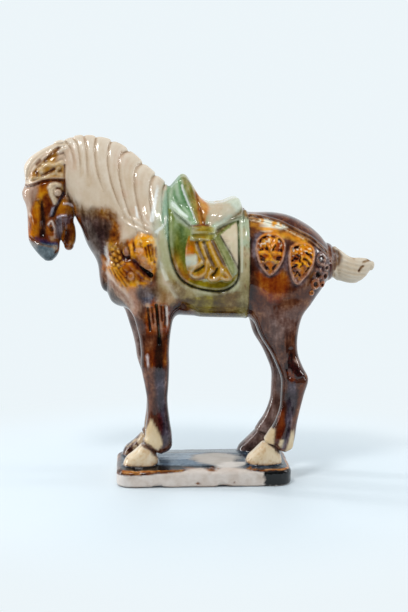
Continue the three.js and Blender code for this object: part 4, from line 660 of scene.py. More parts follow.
def paint(P, N, cav, wide):
    """Glaze colour and bareness at each point. cav and wide are how hollow the
    surface is there, in mm, closely and more broadly: thick glaze lies in
    hollows, thin glaze on edges."""
    x, y, z = P.T
    n = len(x)
    near = y < 0
    on0 = sstep(12, 15, np.abs(y))
    ay = np.abs(y)
    s = np.where(near, 0., 31.7)   # the far side's runs fall differently
    w1 = cloud(x*.11+s, y*.11, z*.11, 1)
    w2 = cloud(x*.33+s, y*.33, z*.33, 2)
    w3 = cloud(x*.9+s, y*.9, z*.9, 3, 2)
    run = cloud(x*.42+s, y*.42, z*.055, 4)          # glaze runs, downwards
    hair = cloud(x*1.1+s, y*1.1, z*.16, 5, 2)       # finer streaks
    X = x+1.1*w1+.7*w2
    Z = z+1.4*w1+.9*w2+1.6*hair
    full = lambda col: np.tile(col, (n, 1))
    two = lambda a, b, t: mix(full(a), b, t)
    R = lambda pts, soft: sstep(soft, -soft, poly(X, Z, pts))                # a region with a run, soft edge
    H = lambda pts, soft: sstep(soft, -soft, poly(x+.25*w2, z+.25*w2, pts))  # one that keeps to the carving
    soft = .55*cav+.22*wide
    hollow = lambda a, b: sstep(a, b, soft)
    deep = lambda a, b: sstep(a, b, cav)
    edge = lambda a, b: sstep(-a, -b, soft)
    stroke = lambda pts, w: ridge(line(x+.3*w3, z+.3*w3, pts), w)

    # brown glaze over the whole horse
    c = two(BROWN, CHESTNUT, .45+.5*run+.35*w1+.12*hair)
    c = mix(c, DEEP, .8*sstep(.05, .7, -w1-.3*run))
    c = mix(c, MAUVE, .30*sstep(.0, .7, w1+.3*run)*sstep(92, 112, z))
    c = mix(c, seen(96, 58, 44), .5*sstep(24, 30, x)*sstep(84, 100, z))
    leg = sstep(100, 84, z)*(z > 12)
    shin = two(seen(72, 50, 44), seen(92, 62, 52), .5+.6*run+.25*hair)
    c = mix(c, shin, leg)
    c = mix(c, seen(112, 70, 50), leg*.6*sstep(.15, .6, hair+.6*run)*sstep(50, 70, z))
    c = mix(c, two(seen(112, 70, 54), seen(86, 54, 46), .5+.8*run+.4*hair), .8*sstep(20, 30, z)*sstep(68, 66, z)*sstep(-27.5, -29.5, x+.6*w2)*(x < -18))
    c = mix(c, two(seen(54, 56, 68), seen(80, 78, 88), .4+.6*run), .75*R([(-26.9,67),(-21.8,67),(-21.8,52.5),(-20.9,37.8),(-17.9,24.0),(-23.5,22.0),(-24.0,31.5),(-26.0,44.1),(-27.2,56.7)], 1.6)*(x < -15)*sstep(67.6, 65.6, z))
    c = mix(c, seen(72, 34, 20), .85*R([(-27.0,44.1),(-24.4,43.0),(-23.0,29.4),(-26.0,33.6)], .8)*(x < -15))
    # painted reflection: a pale lilac streak down the back edge of the near fore shin
    c = mix(c, seen(150, 116, 104), .5*sstep(.15, .5, hair+.5*run)*sstep(22, 40, z)*sstep(67, 60, z)*ridge(x+21.0, .9)*(x < -15))
    kn = H([(-32.4,80),(-31,101),(-19.5,101),(-20.4,84),(-20.8,66.8),(-33,66.8)], .8)*sstep(12, 15, ay)*sstep(66.3, 67.2, z)
    c = mix(c, two(seen(146, 80, 28), seen(104, 56, 32), .5+.7*w3+.5*run), .9*kn*np.maximum(sstep(86, 78, z), sstep(82, 92, z)))
    c = mix(c, seen(170, 92, 24), .8*sstep(.1, .5, hair+.4*w3)*kn*ridge(x+28.2, 1.7)*np.maximum(sstep(78, 74, z), sstep(84, 92, z)))
    c = mix(c, seen(98, 62, 50), .75*kn*sstep(90, 86, z)*sstep(74, 79, z)*sstep(-26.5, -28, x))
    c = mix(c, seen(40, 29, 30), .85*sstep(.9, -.8, poly(X, z, [(-25.6,88),(-26.2,82),(-27.6,76.5),(-27.1,66.3),(-22.8,66.3),(-22.8,76.4),(-23.9,88)]))*(z > 66.5)*sstep(12, 15, ay))
    # painted highlight: a near-white spot on the front of the near fore knee
    c = mix(c, seen(222, 210, 208), .8*H([(-32.4,74.2),(-31.2,74.2),(-30.5,67.2),(-31.7,67.0)], .5)*sstep(12, 15, ay))
    hk = sstep(12, 15, ay)
    c = mix(c, two(seen(58, 54, 62), seen(78, 72, 78), .5+.7*run), .85*R([(47.4,59.1),(51.6,56.9),(52.2,47.5),(49.7,34.8),(47.9,26.4),(45.3,19.0),(42.8,19.4),(46.1,30.6),(47.0,43.3),(46.4,51.7)], .9)*hk)
    c = mix(c, seen(112, 66, 40), .7*R([(53.5,56),(57,58),(56,48),(53.5,38),(52.4,30),(51,34),(52.8,46)], .8)*hk)
    c = mix(c, two(seen(40, 24, 20), seen(66, 38, 28), .5+w3), .92*R([(48.8,77.3),(46.9,72.7),(45.4,65.4),(46.9,60.6),(51.5,58.6),(58.3,60.2),(55.4,63.2),(52.4,67.4),(49.9,71.6)], .8)*hk)
    c = mix(c, seen(112, 60, 26), .95*R([(46.3,63.6),(47.9,58.2),(51.6,58.0),(50.5,61.1),(48.4,65.3)], .6)*hk)
    # painted highlight: a pale grey patch on the hock's bump
    c = mix(c, seen(158, 128, 116), .6*H([(50.4,70.6),(53.0,70.2),(53.7,67.7),(52.0,68.6)], .5)*hk)
    c = mix(c, seen(112, 58, 24), .9*R([(42.4,38.1),(45.3,43.6),(46.2,37.0),(45.2,29.6),(42.0,23.3),(40.6,25.4)], .7)*hk)
    c = mix(c, two(seen(52, 40, 40), seen(98, 84, 82), .45+1.0*w3+.6*run), .75*sstep(36, 26, z)*(z > 12)*(y > 2)*(x > 15))
    c = mix(c, seen(44, 30, 28), .6*hollow(.06, .3)*(z < 104)*(z > 28))
    # painted reflection: the far legs are lighter on the faces turned toward the front
    c = mix(c, two(seen(112, 88, 80), seen(142, 118, 112), .4+.7*run+.4*w2), .6*sstep(3, 7, y)*sstep(.1, -.35, N[:, 1])*sstep(98, 90, z)*sstep(14, 20, z))

    c = mix(c, two(seen(118, 92, 86), seen(142, 116, 108), .4+.7*run), .5*R([(34,100),(52,100),(50,88),(40,80),(36,88)], 4.)*on0)
    # throat and the front of the neck
    c = mix(c, two(seen(92, 76, 72), seen(128, 106, 94), .4+.6*run+.4*w2), .8*R([(-79,150),(-66,156),(-50,152),(-46,144),(-50,134),(-56,122),(-82,124)], 3.5))
    c = mix(c, two(seen(62, 46, 44), seen(92, 70, 58), .4+.8*hair), .8*R([(-68,153),(-60,153),(-51,149),(-48,143),(-51,132),(-58,126),(-62,136)], 5.))
    c = mix(c, seen(176, 160, 146), .6*R([(-66,148),(-62,147),(-57,134),(-58,124),(-62,128)], 1.6))
    c = mix(c, two(HONEY, TAN, .4+.5*w2), R(THROAT, 2.0)*.85)
    c = mix(c, seen(70, 46, 30), .55*R([(-80,160),(-70,158),(-68,154),(-74,150),(-80,152)], 2.0))
    c = mix(c, two(seen(62, 50, 52), seen(98, 80, 74), .4+.7*run+.4*w2), .7*R([(-70,150),(-63,150),(-56,144),(-52,136),(-53,128),(-58,123),(-66,128),(-73,142)], 2.4))
    # painted highlight: a near-white stroke on the front of the neck
    c = mix(c, seen(216, 208, 210), .75*sstep(.5, -.3, taper(x, z, [(-51.4,139.0),(-48.8,143.2)], .6, .4))*sstep(4, 8, ay))
    # breast and shoulder, with painted shade under the breast and painted highlights and reflections on it
    c = mix(c, two(seen(192, 156, 132), seen(156, 116, 92), .4+.7*w2+.4*run), .8*R([(-52,121),(-44,114),(-36,114),(-34,104),(-38,96),(-46,98),(-54,110)], 2.6))
    # painted shade: the underside of the breast is near black
    c = mix(c, two(seen(38, 34, 38), seen(74, 58, 50), .4+.8*w2), .9*R([(-56,117),(-52.4,113.5),(-48.1,108.4),(-43.8,103.4),(-41.4,100.4),(-43,96),(-52,100),(-57,108)], 1.2))
    # painted highlight: a pale pinkish sweep along the lower edge of the breast
    c = mix(c, seen(214, 186, 166), .85*sstep(.9, -.5, taper(x, z, [(-53.0,119.8),(-48.6,115.4),(-44.6,111.0),(-41.2,107.0),(-38.8,101.6)], 1.6, .8)+.3*w3))
    c = mix(c, two(seen(96, 70, 62), seen(140, 96, 76), .4+.8*w2), .8*R([(-38,116),(-24,116),(-16,110),(-14,98),(-34,98),(-37,104)], 2.4))
    # painted reflection: slate grey and bluish patches below the chest ornament
    c = mix(c, two(seen(88, 80, 82), seen(118, 104, 98), .4+.7*w2), .85*R([(-37.6,115.6),(-31.5,113.6),(-26.4,112.6),(-23.6,107.5),(-24.8,103.2),(-34.6,103.4),(-37.3,109.5)], 2.2))
    c = mix(c, two(seen(62, 68, 82), seen(86, 88, 98), .4+.7*w2), .75*R([(-34.2,107.4),(-28,107.8),(-24.4,107.2),(-24.2,104.0),(-34.2,103.9)], 1.3))
    # painted highlight: a broad pale beige-olive band on the shoulder
    c = mix(c, two(seen(196, 180, 140), seen(176, 150, 104), .4+.6*w2), .9*R([(-26.4,122),(-22,126),(-18.6,116),(-14,107),(-17,101.6),(-21,103),(-23.6,109),(-25.4,115)], 1.8))
    c = mix(c, two(seen(176, 132, 88), seen(140, 96, 60), .4+.7*w2), .8*R([(-23.5,111),(-18.6,110),(-15.6,103.7),(-20.8,102),(-24.4,105.6)], 1.6))
    # painted highlight: a near-white diagonal stroke on the shoulder
    c = mix(c, two(seen(236, 228, 204), seen(214, 196, 156), .4+.7*w3), .8*sstep(.8, -.4, taper(x, z, [(-22.6,122.4),(-20.6,117.6),(-17.6,111.6),(-15.4,107.6)], .7, 1.2)+.3*w3))
    c = mix(c, two(seen(92, 58, 32), seen(128, 84, 36), .4+.7*w2), .85*R([(-14.6,112),(-8,108),(-4,99),(-12,94),(-19,98),(-16.4,104)], 2.0))
    c = mix(c, seen(62, 38, 26), .8*R([(-18.6,102.4),(-11,101.6),(-8,97),(-12,93),(-22,95)], 1.6))
    # the leg's top: black grooves with amber between them
    lt = sstep(12, 15, ay)
    c = mix(c, two(seen(164, 84, 28), seen(108, 58, 34), .45+.7*w3+.4*run), .9*lt*H([(-32.6,100.4),(-28,104.6),(-22,104.4),(-19.4,101),(-19.4,84),(-32.6,84)], .9)*sstep(84, 90, z))
    c = mix(c, seen(196, 150, 118), .8*lt*H([(-33.4,103),(-30.4,104),(-29.6,101.4),(-31.8,100.6)], .5))
    for pts, w, a_ in LEGG: c = mix(c, seen(22, 18, 24), .96*a_**.3*sstep(w+.45, w*.5, line(x, z, pts))*lt)
    # painted highlight: a near-white stroke at the top of the fore leg
    c = mix(c, seen(226, 214, 206), .85*lt*sstep(.5, -.2, taper(x, z, [(-20.9,101),(-20.5,95.6),(-20.4,90.4)], .5, .25)))
    # chest ornaments: amber lies round them, pale where it ran thin, black in the pits; some pale marks below are
    # painted highlights and glints, some dark ones painted shade
    chest = sstep(1.4, -1.0, poly(X, Z, CHEST)+.5*hair)*sstep(4, 8, ay)
    a = two(seen(206, 124, 16), seen(240, 164, 42), .4+.6*w2+.6*w3)
    a = mix(a, seen(214, 128, 16), .8*H([(-43,128.4),(-38,127),(-36.8,119),(-41,118.4),(-44,123)], 1.4))
    # painted shade: a dark band down the middle of the ornament
    a = mix(a, seen(108, 58, 10), .75*sstep(2.4, .6, line(x, z, [(-37.0,128.2),(-36.4,122.6),(-36.0,117.6)])+.8*w3))
    a = mix(a, two(seen(84, 42, 10), seen(144, 78, 12), .5+1.3*w3), .85*H([(-36,121.6),(-28.8,118.8),(-29.6,115.6),(-36.6,115.4)], 1.0))
    a = mix(a, two(seen(92, 44, 10), seen(150, 84, 12), .5+1.2*w3), .8*H([(-46.4,139.6),(-42.6,137.6),(-41.6,128.8),(-45.2,127.4),(-47.6,133)], 1.2))
    a = mix(a, seen(96, 46, 10), hollow(.02, .15)*.8)
    a = mix(a, two(seen(250, 186, 66), seen(240, 190, 124), .3+w3), edge(.03, .18)*.8*sstep(-40, -46, x)*sstep(118, 124, z))
    a = mix(a, seen(246, 176, 76), edge(.03, .2)*.7)
    a = mix(a, two(seen(250, 174, 34), seen(224, 136, 14), .35+.8*w3), .92*H(LOBE, .9))
    # painted highlight: the top of the lobe is paler
    a = mix(a, seen(252, 218, 150), .8*H(LOBE, .9)*sstep(-.05, .5, w3)*sstep(134.5, 138, z))
    # painted shade: a dark streak between the bar and the lobe
    a = mix(a, seen(92, 48, 10), .75*ridge(line(x+.5*w3, z, [(-39.2,136.8),(-38.4,134.8),(-38.3,131.8)]), .7))
    a = mix(a, two(seen(224, 134, 14), seen(250, 176, 60), .4+w3), .9*ridge(line(x, z, BAR), 1.0))
    a = mix(a, seen(84, 44, 12), .8*sstep(3.2, .8, line(x, z, [(-43,129.4),(-38.6,127.2),(-35.4,123.4),(-31.4,120.2)])+.9*w3))
    a = mix(a, two(seen(190, 148, 130), seen(124, 80, 62), .45+1.3*w3), .75*H(SMEAR, .9)*sstep(-.8, .1, w3+.3*hair))
    # painted glints: creamy white patches on the ornament
    a = mix(a, two(seen(250, 236, 222), seen(220, 150, 90), .5+1.2*w3), .85*H([(-38.2,134.2),(-34.2,134.6),(-32.6,131.6),(-35.2,130.4),(-38.0,131.2)], .6)*sstep(-.4, .2, w3))
    for (cx, cz, p, q) in OVALS:
        dv = np.hypot(x-cx+.12*(z-cz), (z-cz)*p/q)
        # painted reflection: mauve-lilac inside the oval
        a = mix(a, two(seen(196, 160, 148), seen(140, 96, 84), .5+.9*w3), .92*sstep(p*.95, p*.5, dv))
        a = mix(a, seen(60, 28, 14), .9*ridge(dv-p-.3, .55))
    for pts, w, a_ in FAN_CUTS:
        if a_ > .45 and pts[0][0] > -36: a = mix(a, two(seen(78, 34, 8), seen(132, 70, 14), .4+.9*w3), (.30+.5*a_)*sstep(.6, -.3, taper(x+.6*w3, z+.3*w2, pts, w+.45, w+.0)))
    for pts, w, a_ in SPRAY[3:]:
        a = mix(a, two(seen(222, 152, 56), seen(176, 104, 22), .4+w3), .7*ridge(line(x+.5*w2, z, pts), .5)*sstep(-.8, .2, w3))
        a = mix(a, seen(74, 36, 12), .8*ridge(line(x-.95+.5*w2+.3*w3, z-.2, pts), .5)*sstep(-1., -.2, w3+.4*w2))
    for (cx, cz, r) in KNOBS[1:]:
        d = np.hypot(x-cx, z-cz)
        d = d+.35*noise(x*.6, z*.6, x*0, 58)+.4*w3
        a = mix(a, seen(70, 32, 8), .7*ridge(d-r-.1, .55)*sstep(-1.2, -.3, w2+w3))
        # painted highlight: a pale spot on each knob, set toward its upper left
        a = mix(a, two(seen(248, 214, 146), seen(190, 112, 16), .45+1.6*w3), .6*sstep(r*.75, r*.15, np.hypot(x-cx+.3+.5*w3, z-cz-.4+.4*w2)))
    a = mix(a, two(seen(150, 78, 8), seen(100, 50, 8), .4+w3), .7*H([(-44.4,124.4),(-38.6,124.8),(-36.2,120.6),(-37.0,115.4),(-42.6,114.8),(-44.4,119)], 1.6))
    a = mix(a, seen(196, 146, 110), .6*ridge(np.hypot(x+40.6, (z-118.8)*.8)-1.4, .4))
    a = mix(a, seen(70, 34, 14), .6*ridge(np.hypot(x+40.6, (z-118.8)*.8)-2.3, .4))
    # painted highlight: a pale beige line along the ornament's right margin
    a = mix(a, seen(216, 196, 148), .75*ridge(line(x, z, [(-27.4,139.2),(-25.2,135.6),(-24.8,130),(-26.2,124.6)]), .7))
    a = mix(a, seen(48, 24, 10), deep(.12, .34)*np.where(x > -33, .5, .8))
    c = mix(c, a, chest*.98)
    c = mix(c, seen(16, 18, 28), .97*sstep(.4, -.35, taper(x, z, SLOT, .2, 1.35))*sstep(6, 10, ay))
    # painted shade: brown just below the slot
    c = mix(c, seen(80, 40, 10), .8*sstep(1.7, .2, taper(x-.3, z+1.1, SLOT, .3, .9))*chest*(1-sstep(.4, -.35, taper(x, z, SLOT, .2, 1.35))))
    c = mix(c, two(seen(186, 136, 108), seen(150, 104, 88), .4+.9*w2), .7*R([(-42.0,113.0),(-38.0,112.4),(-36.4,106),(-37.4,96),(-40.2,95.2),(-39.6,103)], 1.3))
    c = mix(c, seen(166, 132, 92), .55*R([(-29,112.6),(-22.5,113.5),(-19.5,107),(-21,101.6),(-26,103.6)], 2.2)*sstep(5, 9, ay))
    # painted highlight: a white patch on the left edge of the breast
    c = mix(c, two(seen(250, 246, 242), seen(206, 184, 168), .3+.9*w3), .75*R([(-54.4,135.4),(-53.1,136),(-52.9,129.3),(-52.3,124.4),(-53.4,123.4),(-54.3,129.4)], .6)*sstep(5, 9, ay))
    c = mix(c, seen(190, 112, 48), .75*R([(-56.4,129.6),(-54.7,129.2),(-54.0,122),(-55.8,121.4)], .7)*sstep(5, 9, ay))

    # cream mane, neck and withers
    cream = two(seen(214, 193, 168), seen(196, 170, 140), .35+.30*w1+.12*run)
    cream = mix(cream, seen(212, 180, 156), .55*sstep(-.1, .5, w1+.3*w2))
    cream = mix(cream, seen(184, 158, 134), hollow(.02, .14)*.6)
    cut_ = sstep(5, .5, mane_grid(x, z)[1])*sstep(-66, -48, x)
    cream = mix(cream, seen(136, 100, 72), hollow(.06, .16)*(.15+.55*np.where(x < -20, cut_, .4)))
    cream = mix(cream, seen(230, 216, 198), edge(.02, .12)*.6)
    mane_on = R(CREAM_POLY, 1.8)
    fp = poly(X, Z, CREAM_POLY)
    low_neck = sstep(-40, -46, x)*sstep(-80, -74, x)
    fringe = sstep(7.5, 1.0, fp+2.6*hair+1.4*w3)*low_neck
    c = mix(c, mix(two(seen(104, 80, 58), seen(140, 112, 86), .35+.7*hair+.4*w2), two(seen(140, 86, 34), seen(164, 124, 84), .35+.7*hair+.4*w2), sstep(-62, -54, x)), fringe*.85*sstep(6.5, 2.5, fp))
    c = mix(c, seen(120, 70, 24), .75*sstep(5.0, 2.0, np.abs(fp-1.5)+2.6*w3)*low_neck*sstep(-62, -54, x)*sstep(.0, .5, w3+.4*hair+.3))
    mane_on = mane_on*(1-.45*low_neck*sstep(-3.2, .5, fp+1.8*hair))
    c = mix(c, cream, mane_on*sstep(-77.0, -76.2, x+.3*w2))
    c = mix(c, two(seen(136, 90, 26), seen(88, 56, 28), .5+1.2*hair+.4*w3), .8*R([(-58,154.5),(-52,155),(-47.6,151.5),(-46.6,146),(-49.5,146.5),(-54,150.5),(-58.5,152)], 1.4)*sstep(4, 8, ay)*sstep(-.9, .0, w3+.5*hair))
    c = mix(c, two(seen(160, 92, 14), seen(88, 50, 20), .5+1.1*w3), .85*R([(-49.8,148.6),(-46.6,148.8),(-46.0,143),(-46.6,138),(-47.6,135),(-52.4,134),(-51,141)], 1.1)*sstep(4, 8, ay)*sstep(-1.1, -.2, w3+.4*w2))
    # the brow line splits the cream forelock from the brown face
    brow_z = np.interp(x, [-100, -95.6, -92.1, -89.6, -84, -78], [168.4, 168.8, 170.0, 171.0, 171.9, 171.6])
    upper = sstep(-.6, .6, z-brow_z)
    fore = upper*(x < -70)*(z > 160)
    c = mix(c, cream, fore)
    gp = H(GOLD_POLY, 1.2)*sstep(1.5, 3., ay)
    c = mix(c, two(seen(150, 96, 26), seen(190, 140, 58), .5+.6*w3), gp*.95)
    for pts, w, a_ in EAR:
        e_ = ridge(line(x+.25*w3, z+.25*w2, pts), w*1.05)*sstep(1.5, 3., ay)*fore
        c = mix(c, two(seen(222, 200, 166), seen(196, 150, 82), .25+.9*w3) if a_ > 0 else two(seen(84, 50, 18), seen(116, 72, 22), .5+w3), e_*.9)
    c = mix(c, seen(84, 54, 30), hollow(.06, .22)*(x < -72)*(z > 168)*(z < 190)*H([(-82.3,190),(-99,172),(-97,168),(-75,168),(-75,186)], 1.)*.9)

    # head
    hd = (x < -68)*(z < 173)*(ay < 16)
    face = hd*(1-upper)*sstep(-75.8, -76.8, x+.2*w2)
    fb = two(seen(102, 56, 30), seen(138, 80, 34), .45+.6*w2+.3*hair)
    c = mix(c, fb, face)
    c = mix(c, two(seen(184, 152, 132), seen(206, 176, 152), .3+.5*w2), R(BROW_MAUVE, 1.8)*face*.92)
    c = mix(c, seen(140, 108, 92), .6*R([(-96.5,168.2),(-91,169.4),(-91.5,163),(-95,157.6)], 1.5)*face)
    c = mix(c, two(seen(214, 136, 10), seen(140, 74, 12), .40+.7*w2+.6*w3), H(NOSE, 1.2)*face*.96)
    c = mix(c, seen(176, 108, 30), .8*R([(-91.5,167.5),(-85.5,169.4),(-85.8,166.4),(-90,163.2)], 1.0)*face)
    c = mix(c, seen(112, 58, 20), .8*H([(-88.8,162.8),(-86.2,163.6),(-84.8,157),(-86.2,150),(-88.2,152)], 1.2)*face*sstep(-.8, .3, w3))
    c = mix(c, seen(40, 24, 18), .9*sstep(1.2, -.4, taper(x, z, [(-89.4,159.4),(-89.4,155.6),(-88.9,150),(-88.8,145),(-89.4,140.4)], .3, 1.2))*face)
    # painted highlights: pale speckles on the bridge of the nose
    c = mix(c, seen(232, 216, 200), .8*sstep(.1, .4, noise(x*1.1, y*1.1, z*1.1, 61))*sstep(2, 5, ay)*H([(-98.6,153),(-95.6,152.6),(-94.4,147.6),(-96.4,144.8),(-98.6,146)], .8)*face)
    c = mix(c, seen(92, 48, 20), .7*sstep(.1, .4, -noise(x*1.1, y*1.1, z*1.1, 61))*sstep(2, 5, ay)*H([(-98.6,153),(-95.6,152.6),(-94.4,147.6),(-96.4,144.8),(-98.6,146)], .8)*face)
    c = mix(c, two(seen(176, 108, 30), seen(140, 80, 24), .5+.8*w2), H(CHEEK_POLY, 1.0)*hd*(1-upper)*.92)
    c = mix(c, two(seen(150, 80, 22), seen(112, 58, 24), .5+.8*w3), H([(-86.9,148.0),(-84.4,149.6),(-82.6,147.4),(-82.2,141),(-82.6,137.4),(-85.4,136.6),(-87.6,139)], .9)*face*.92)
    c = mix(c, seen(186, 138, 92), .75*H([(-85.6,139.2),(-83.2,139.8),(-82.8,137.2),(-84.8,136.6)], .7)*face)
    lid = np.maximum(sstep(1.7, .5, line(x, z, LID)-.2), sstep(1.5, .5, line(x, z, LIDLOW)-.3))
    lid = np.maximum(lid, H([(-85.6,167.2),(-84.4,168.6),(-81.6,168.4),(-81.4,166.6),(-82.0,164.0),(-81.6,161.8),(-80.8,160.2),(-81.2,158.0),(-82.8,158.6),(-84.2,161.6),(-85.2,164.6)], .6)*.95)
    ball = np.hypot(x+80.4, z-164.)
    c = mix(c, seen(120, 76, 40), sstep(3.4, 2.6, ball)*hd*.5*(x < -77.4)*(z < 165))
    c = mix(c, two(seen(224, 202, 172), seen(204, 176, 144), .3+.5*w3), lid*face)
    c = mix(c, two(seen(228, 206, 184), seen(206, 174, 146), .35+.25*(x+80.4)+.3*w3), sstep(2.3, 1.5, ball)*hd)
    c = mix(c, seen(132, 94, 66), ridge(ball-2.4, .4)*hd*.55*sstep(166, 162, z+.5*(x+80)))
    c = mix(c, seen(170, 132, 104), ridge(np.hypot(x+80.6, z-163.8)-.9, .4)*hd*.5)
    c = mix(c, seen(216, 176, 116), .8*H([(-79.4,167.2),(-77.4,167.4),(-77.6,165.2),(-79,165.6)], .5)*hd*(1-upper))
    blue = line(x+.35, z-.2, CHEEK[9:])
    # painted reflection: a slate-blue line along the cheek's edge, and a pale blue highlight near its lower end
    c = mix(c, seen(98, 92, 104), .85*ridge(blue, .65)*hd)
    c = mix(c, seen(190, 192, 204), .8*H([(-84.0,155.8),(-82.6,156.2),(-83.4,151.4),(-85.0,151)], .5)*hd)
    c = mix(c, seen(52, 34, 28), .8*ridge(line(x-.75, z+.3, CHEEK[9:]), .45)*hd)
    mz_z = np.interp(x, [-99, -93, -87, -82, -78], [138.0, 135.5, 134.0, 133.2, 130])
    mz = sstep(.9, -.9, z-mz_z+.5*w2)*(x < -79.5)*hd
    c = mix(c, two(seen(100, 114, 120), seen(130, 136, 140), .2+.5*w2+.3*sstep(-92, -97, x)), mz)
    c = mix(c, seen(52, 60, 66), .6*sstep(130, 126.5, z)*mz)
    c = mix(c, seen(176, 162, 152), .6*R([(-97.6,138.6),(-92,136),(-92.6,133),(-97,134)], .8)*mz)
    c = mix(c, seen(46, 66, 100), ridge(z-mz_z-1.9, 1.1)*(x < -81)*(x > -91)*hd*.85)
    c = mix(c, seen(36, 84, 100), .8*ridge(z-mz_z-.7, .8)*(x < -80.5)*(x > -90)*hd)
    c = mix(c, seen(76, 56, 78), ridge(z-mz_z-2.9, 1.2)*(x < -86.5)*(x > -94)*hd*.7)
    c = mix(c, seen(150, 120, 92), .7*ridge(z-mz_z-.2, .5)*(x < -83)*(x > -93)*hd)
    c = mix(c, seen(196, 170, 140), .75*H([(-83.6,134.4),(-81.6,134.6),(-81.4,131.8),(-83.2,131.6)], .6)*hd)
    c = mix(c, seen(122, 110, 116), .85*H([(-81.4,150.4),(-78.2,151.2),(-78.6,142),(-80.0,137.4),(-81.6,138.6),(-82.0,145)], .8)*hd)
    jaw = sstep(-78.6, -77.8, x)*sstep(152, 149.4, z)*hd
    c = mix(c, two(seen(140, 76, 36), seen(100, 58, 42), .5+.8*w2), jaw)
    c = mix(c, seen(52, 34, 36), .8*R([(-77.6,144),(-74.6,143.6),(-73.8,137),(-76,134.6),(-77.8,137)], .9)*jaw)
    c = mix(c, seen(150, 86, 30), .8*H([(-73.0,149),(-71.4,147),(-71.0,139),(-72.4,136),(-73.4,141)], .7)*jaw)
    c = mix(c, two(seen(164, 100, 26), seen(128, 76, 24), .5+w3), .8*R([(-76.2,157.0),(-71.2,156.6),(-70.6,152.4),(-73.6,151.8),(-76.4,153.6)], 1.0)*hd)
    c = mix(c, seen(96, 82, 92), .7*R([(-77.8,150.6),(-73.6,151.4),(-74.4,146.4),(-77.2,145.6)], 1.0)*hd)
    c = mix(c, seen(176, 104, 40), .9*ridge(line(x-.2, z, MOUTH[3:]), .6)*hd)
    c = mix(c, seen(60, 38, 30), hollow(.05, .22)*hd*(1-upper)*(1-lid)*.6)
    # painted highlight: a pale curve along the nostril's rim
    c = mix(c, seen(226, 210, 196), ridge(line(x+.1, z-.1, NOSTRIL), .5)*hd*(.3+.6*sstep(142.5, 145, z)))
    # painted glints along two small ridges by the jaw
    c = mix(c, seen(196, 192, 206), .75*ridge(line(x, z, [(-81.1,150.3),(-78.9,151.3),(-76.2,151.3)]), .5)*hd)
    c = mix(c, seen(206, 196, 196), .7*ridge(line(x, z, [(-77.2,157.8),(-75,158.0),(-72.5,156.6)]), .5)*hd)

    # saddle, skirts and blanket; the far side follows the same scheme
    sad = (x > -30)*(x < 27)*(z > 84)*1.
    on = sstep(5, 9, ay)
    bl = sstep(.5, -.5, poly(x, z, BLANKET))*on*sad
    o = two(seen(192, 188, 152), seen(166, 160, 112), .35+.5*w1+.3*w2)                # front border
    o = mix(o, PALEJADE, .75*sstep(140, 150, Z))
    o = mix(o, seen(158, 132, 78), .85*sstep(128, 114, Z)*sstep(2, -8, x))
    o = mix(o, seen(108, 78, 46), .7*R([(-19,117),(-13,116),(-9,110),(-14,104),(-20,110)], 2.))
    low = two(seen(106, 86, 36), seen(124, 104, 44), .4+.6*w2)                         # bottom
    low = mix(low, seen(84, 58, 36), .75*sstep(5, 2, np.abs(x+10.5+.12*(z-100)))*sstep(-.6, .2, w2))
    low = mix(low, MUSTARD*.95, .7*sstep(4.5, 1.5, np.abs(x-1.5)))
    low = mix(low, seen(128, 96, 60), .6*sstep(6, 14, x))
    low = mix(low, seen(78, 54, 34), .8*sstep(100.5, 94, Z))
    o = mix(o, low, sstep(111.5, 107.5, Z+.30*np.abs(x-3)*(x < 3)-.25*np.maximum(x-12, 0))*sstep(-21, -17, x+.25*(z-105)))
    rs = sstep(18.6, 19.6, x)                                                         # back border
    r_ = two(seen(176, 186, 156), seen(182, 168, 130), sstep(140, 128, Z)+.3*w2)
    r_ = mix(r_, seen(210, 180, 144), .4*sstep(-.3, .4, w2)*sstep(118, 126, Z)*sstep(152, 146, Z))
    r_ = mix(r_, seen(142, 126, 82), sstep(122, 110, Z))
    r_ = mix(r_, KHAKI, sstep(108, 98, Z)*.8)
    r_ = mix(r_, seen(120, 80, 40), .7*sstep(.15, .55, w3+.3*w2)*sstep(21, 22.5, x)*(z < 146)*(z > 112))
    r_ = mix(r_, seen(150, 104, 48), .85*H([(20.6,158),(25.6,158),(25.4,150.4),(22.8,150.6)], 1.))
    o = mix(o, r_, rs)
    c = mix(c, o, np.maximum(bl*(x > 10), sstep(1.8, -1.8, poly(X, z, BLANKET))*on*sad*(x <= 10)))
    # the blanket's front is no sharp line: its pale green spreads over the withers
    c = mix(c, seen(190, 194, 172), .7*R([(-28.5,150),(-22,172),(-18,170),(-19,140),(-24,122),(-27.5,136)], 2.6)*on*(1-bl)*sstep(110, 122, z))
    c = mix(c, seen(132, 168, 142), .75*R([(-20.2,172),(-17.5,170),(-19,138),(-21.4,140),(-23.4,156)], 1.3)*on)
    # painted highlights: white streaks down the blanket's front and at the foot of the mane
    c = mix(c, seen(250, 248, 242), .88*on*np.maximum(sstep(.5, -.4, taper(x+.2*w3, z, [(-25.2,167.4),(-27.0,158),(-28.8,149.4)], .7, 1.1)), sstep(.4, -.3, taper(x, z, [(-37.6,156.4),(-36.7,150.6)], .35, .55))))
    # painted highlight: a white line along the pale green band by the pommel
    c = mix(c, seen(244, 250, 240), .8*on*sstep(.4, -.3, taper(x, z, [(-26.6,143.0),(-23.4,145.4),(-21.6,147.4),(-21.0,151)], .7, .5)))
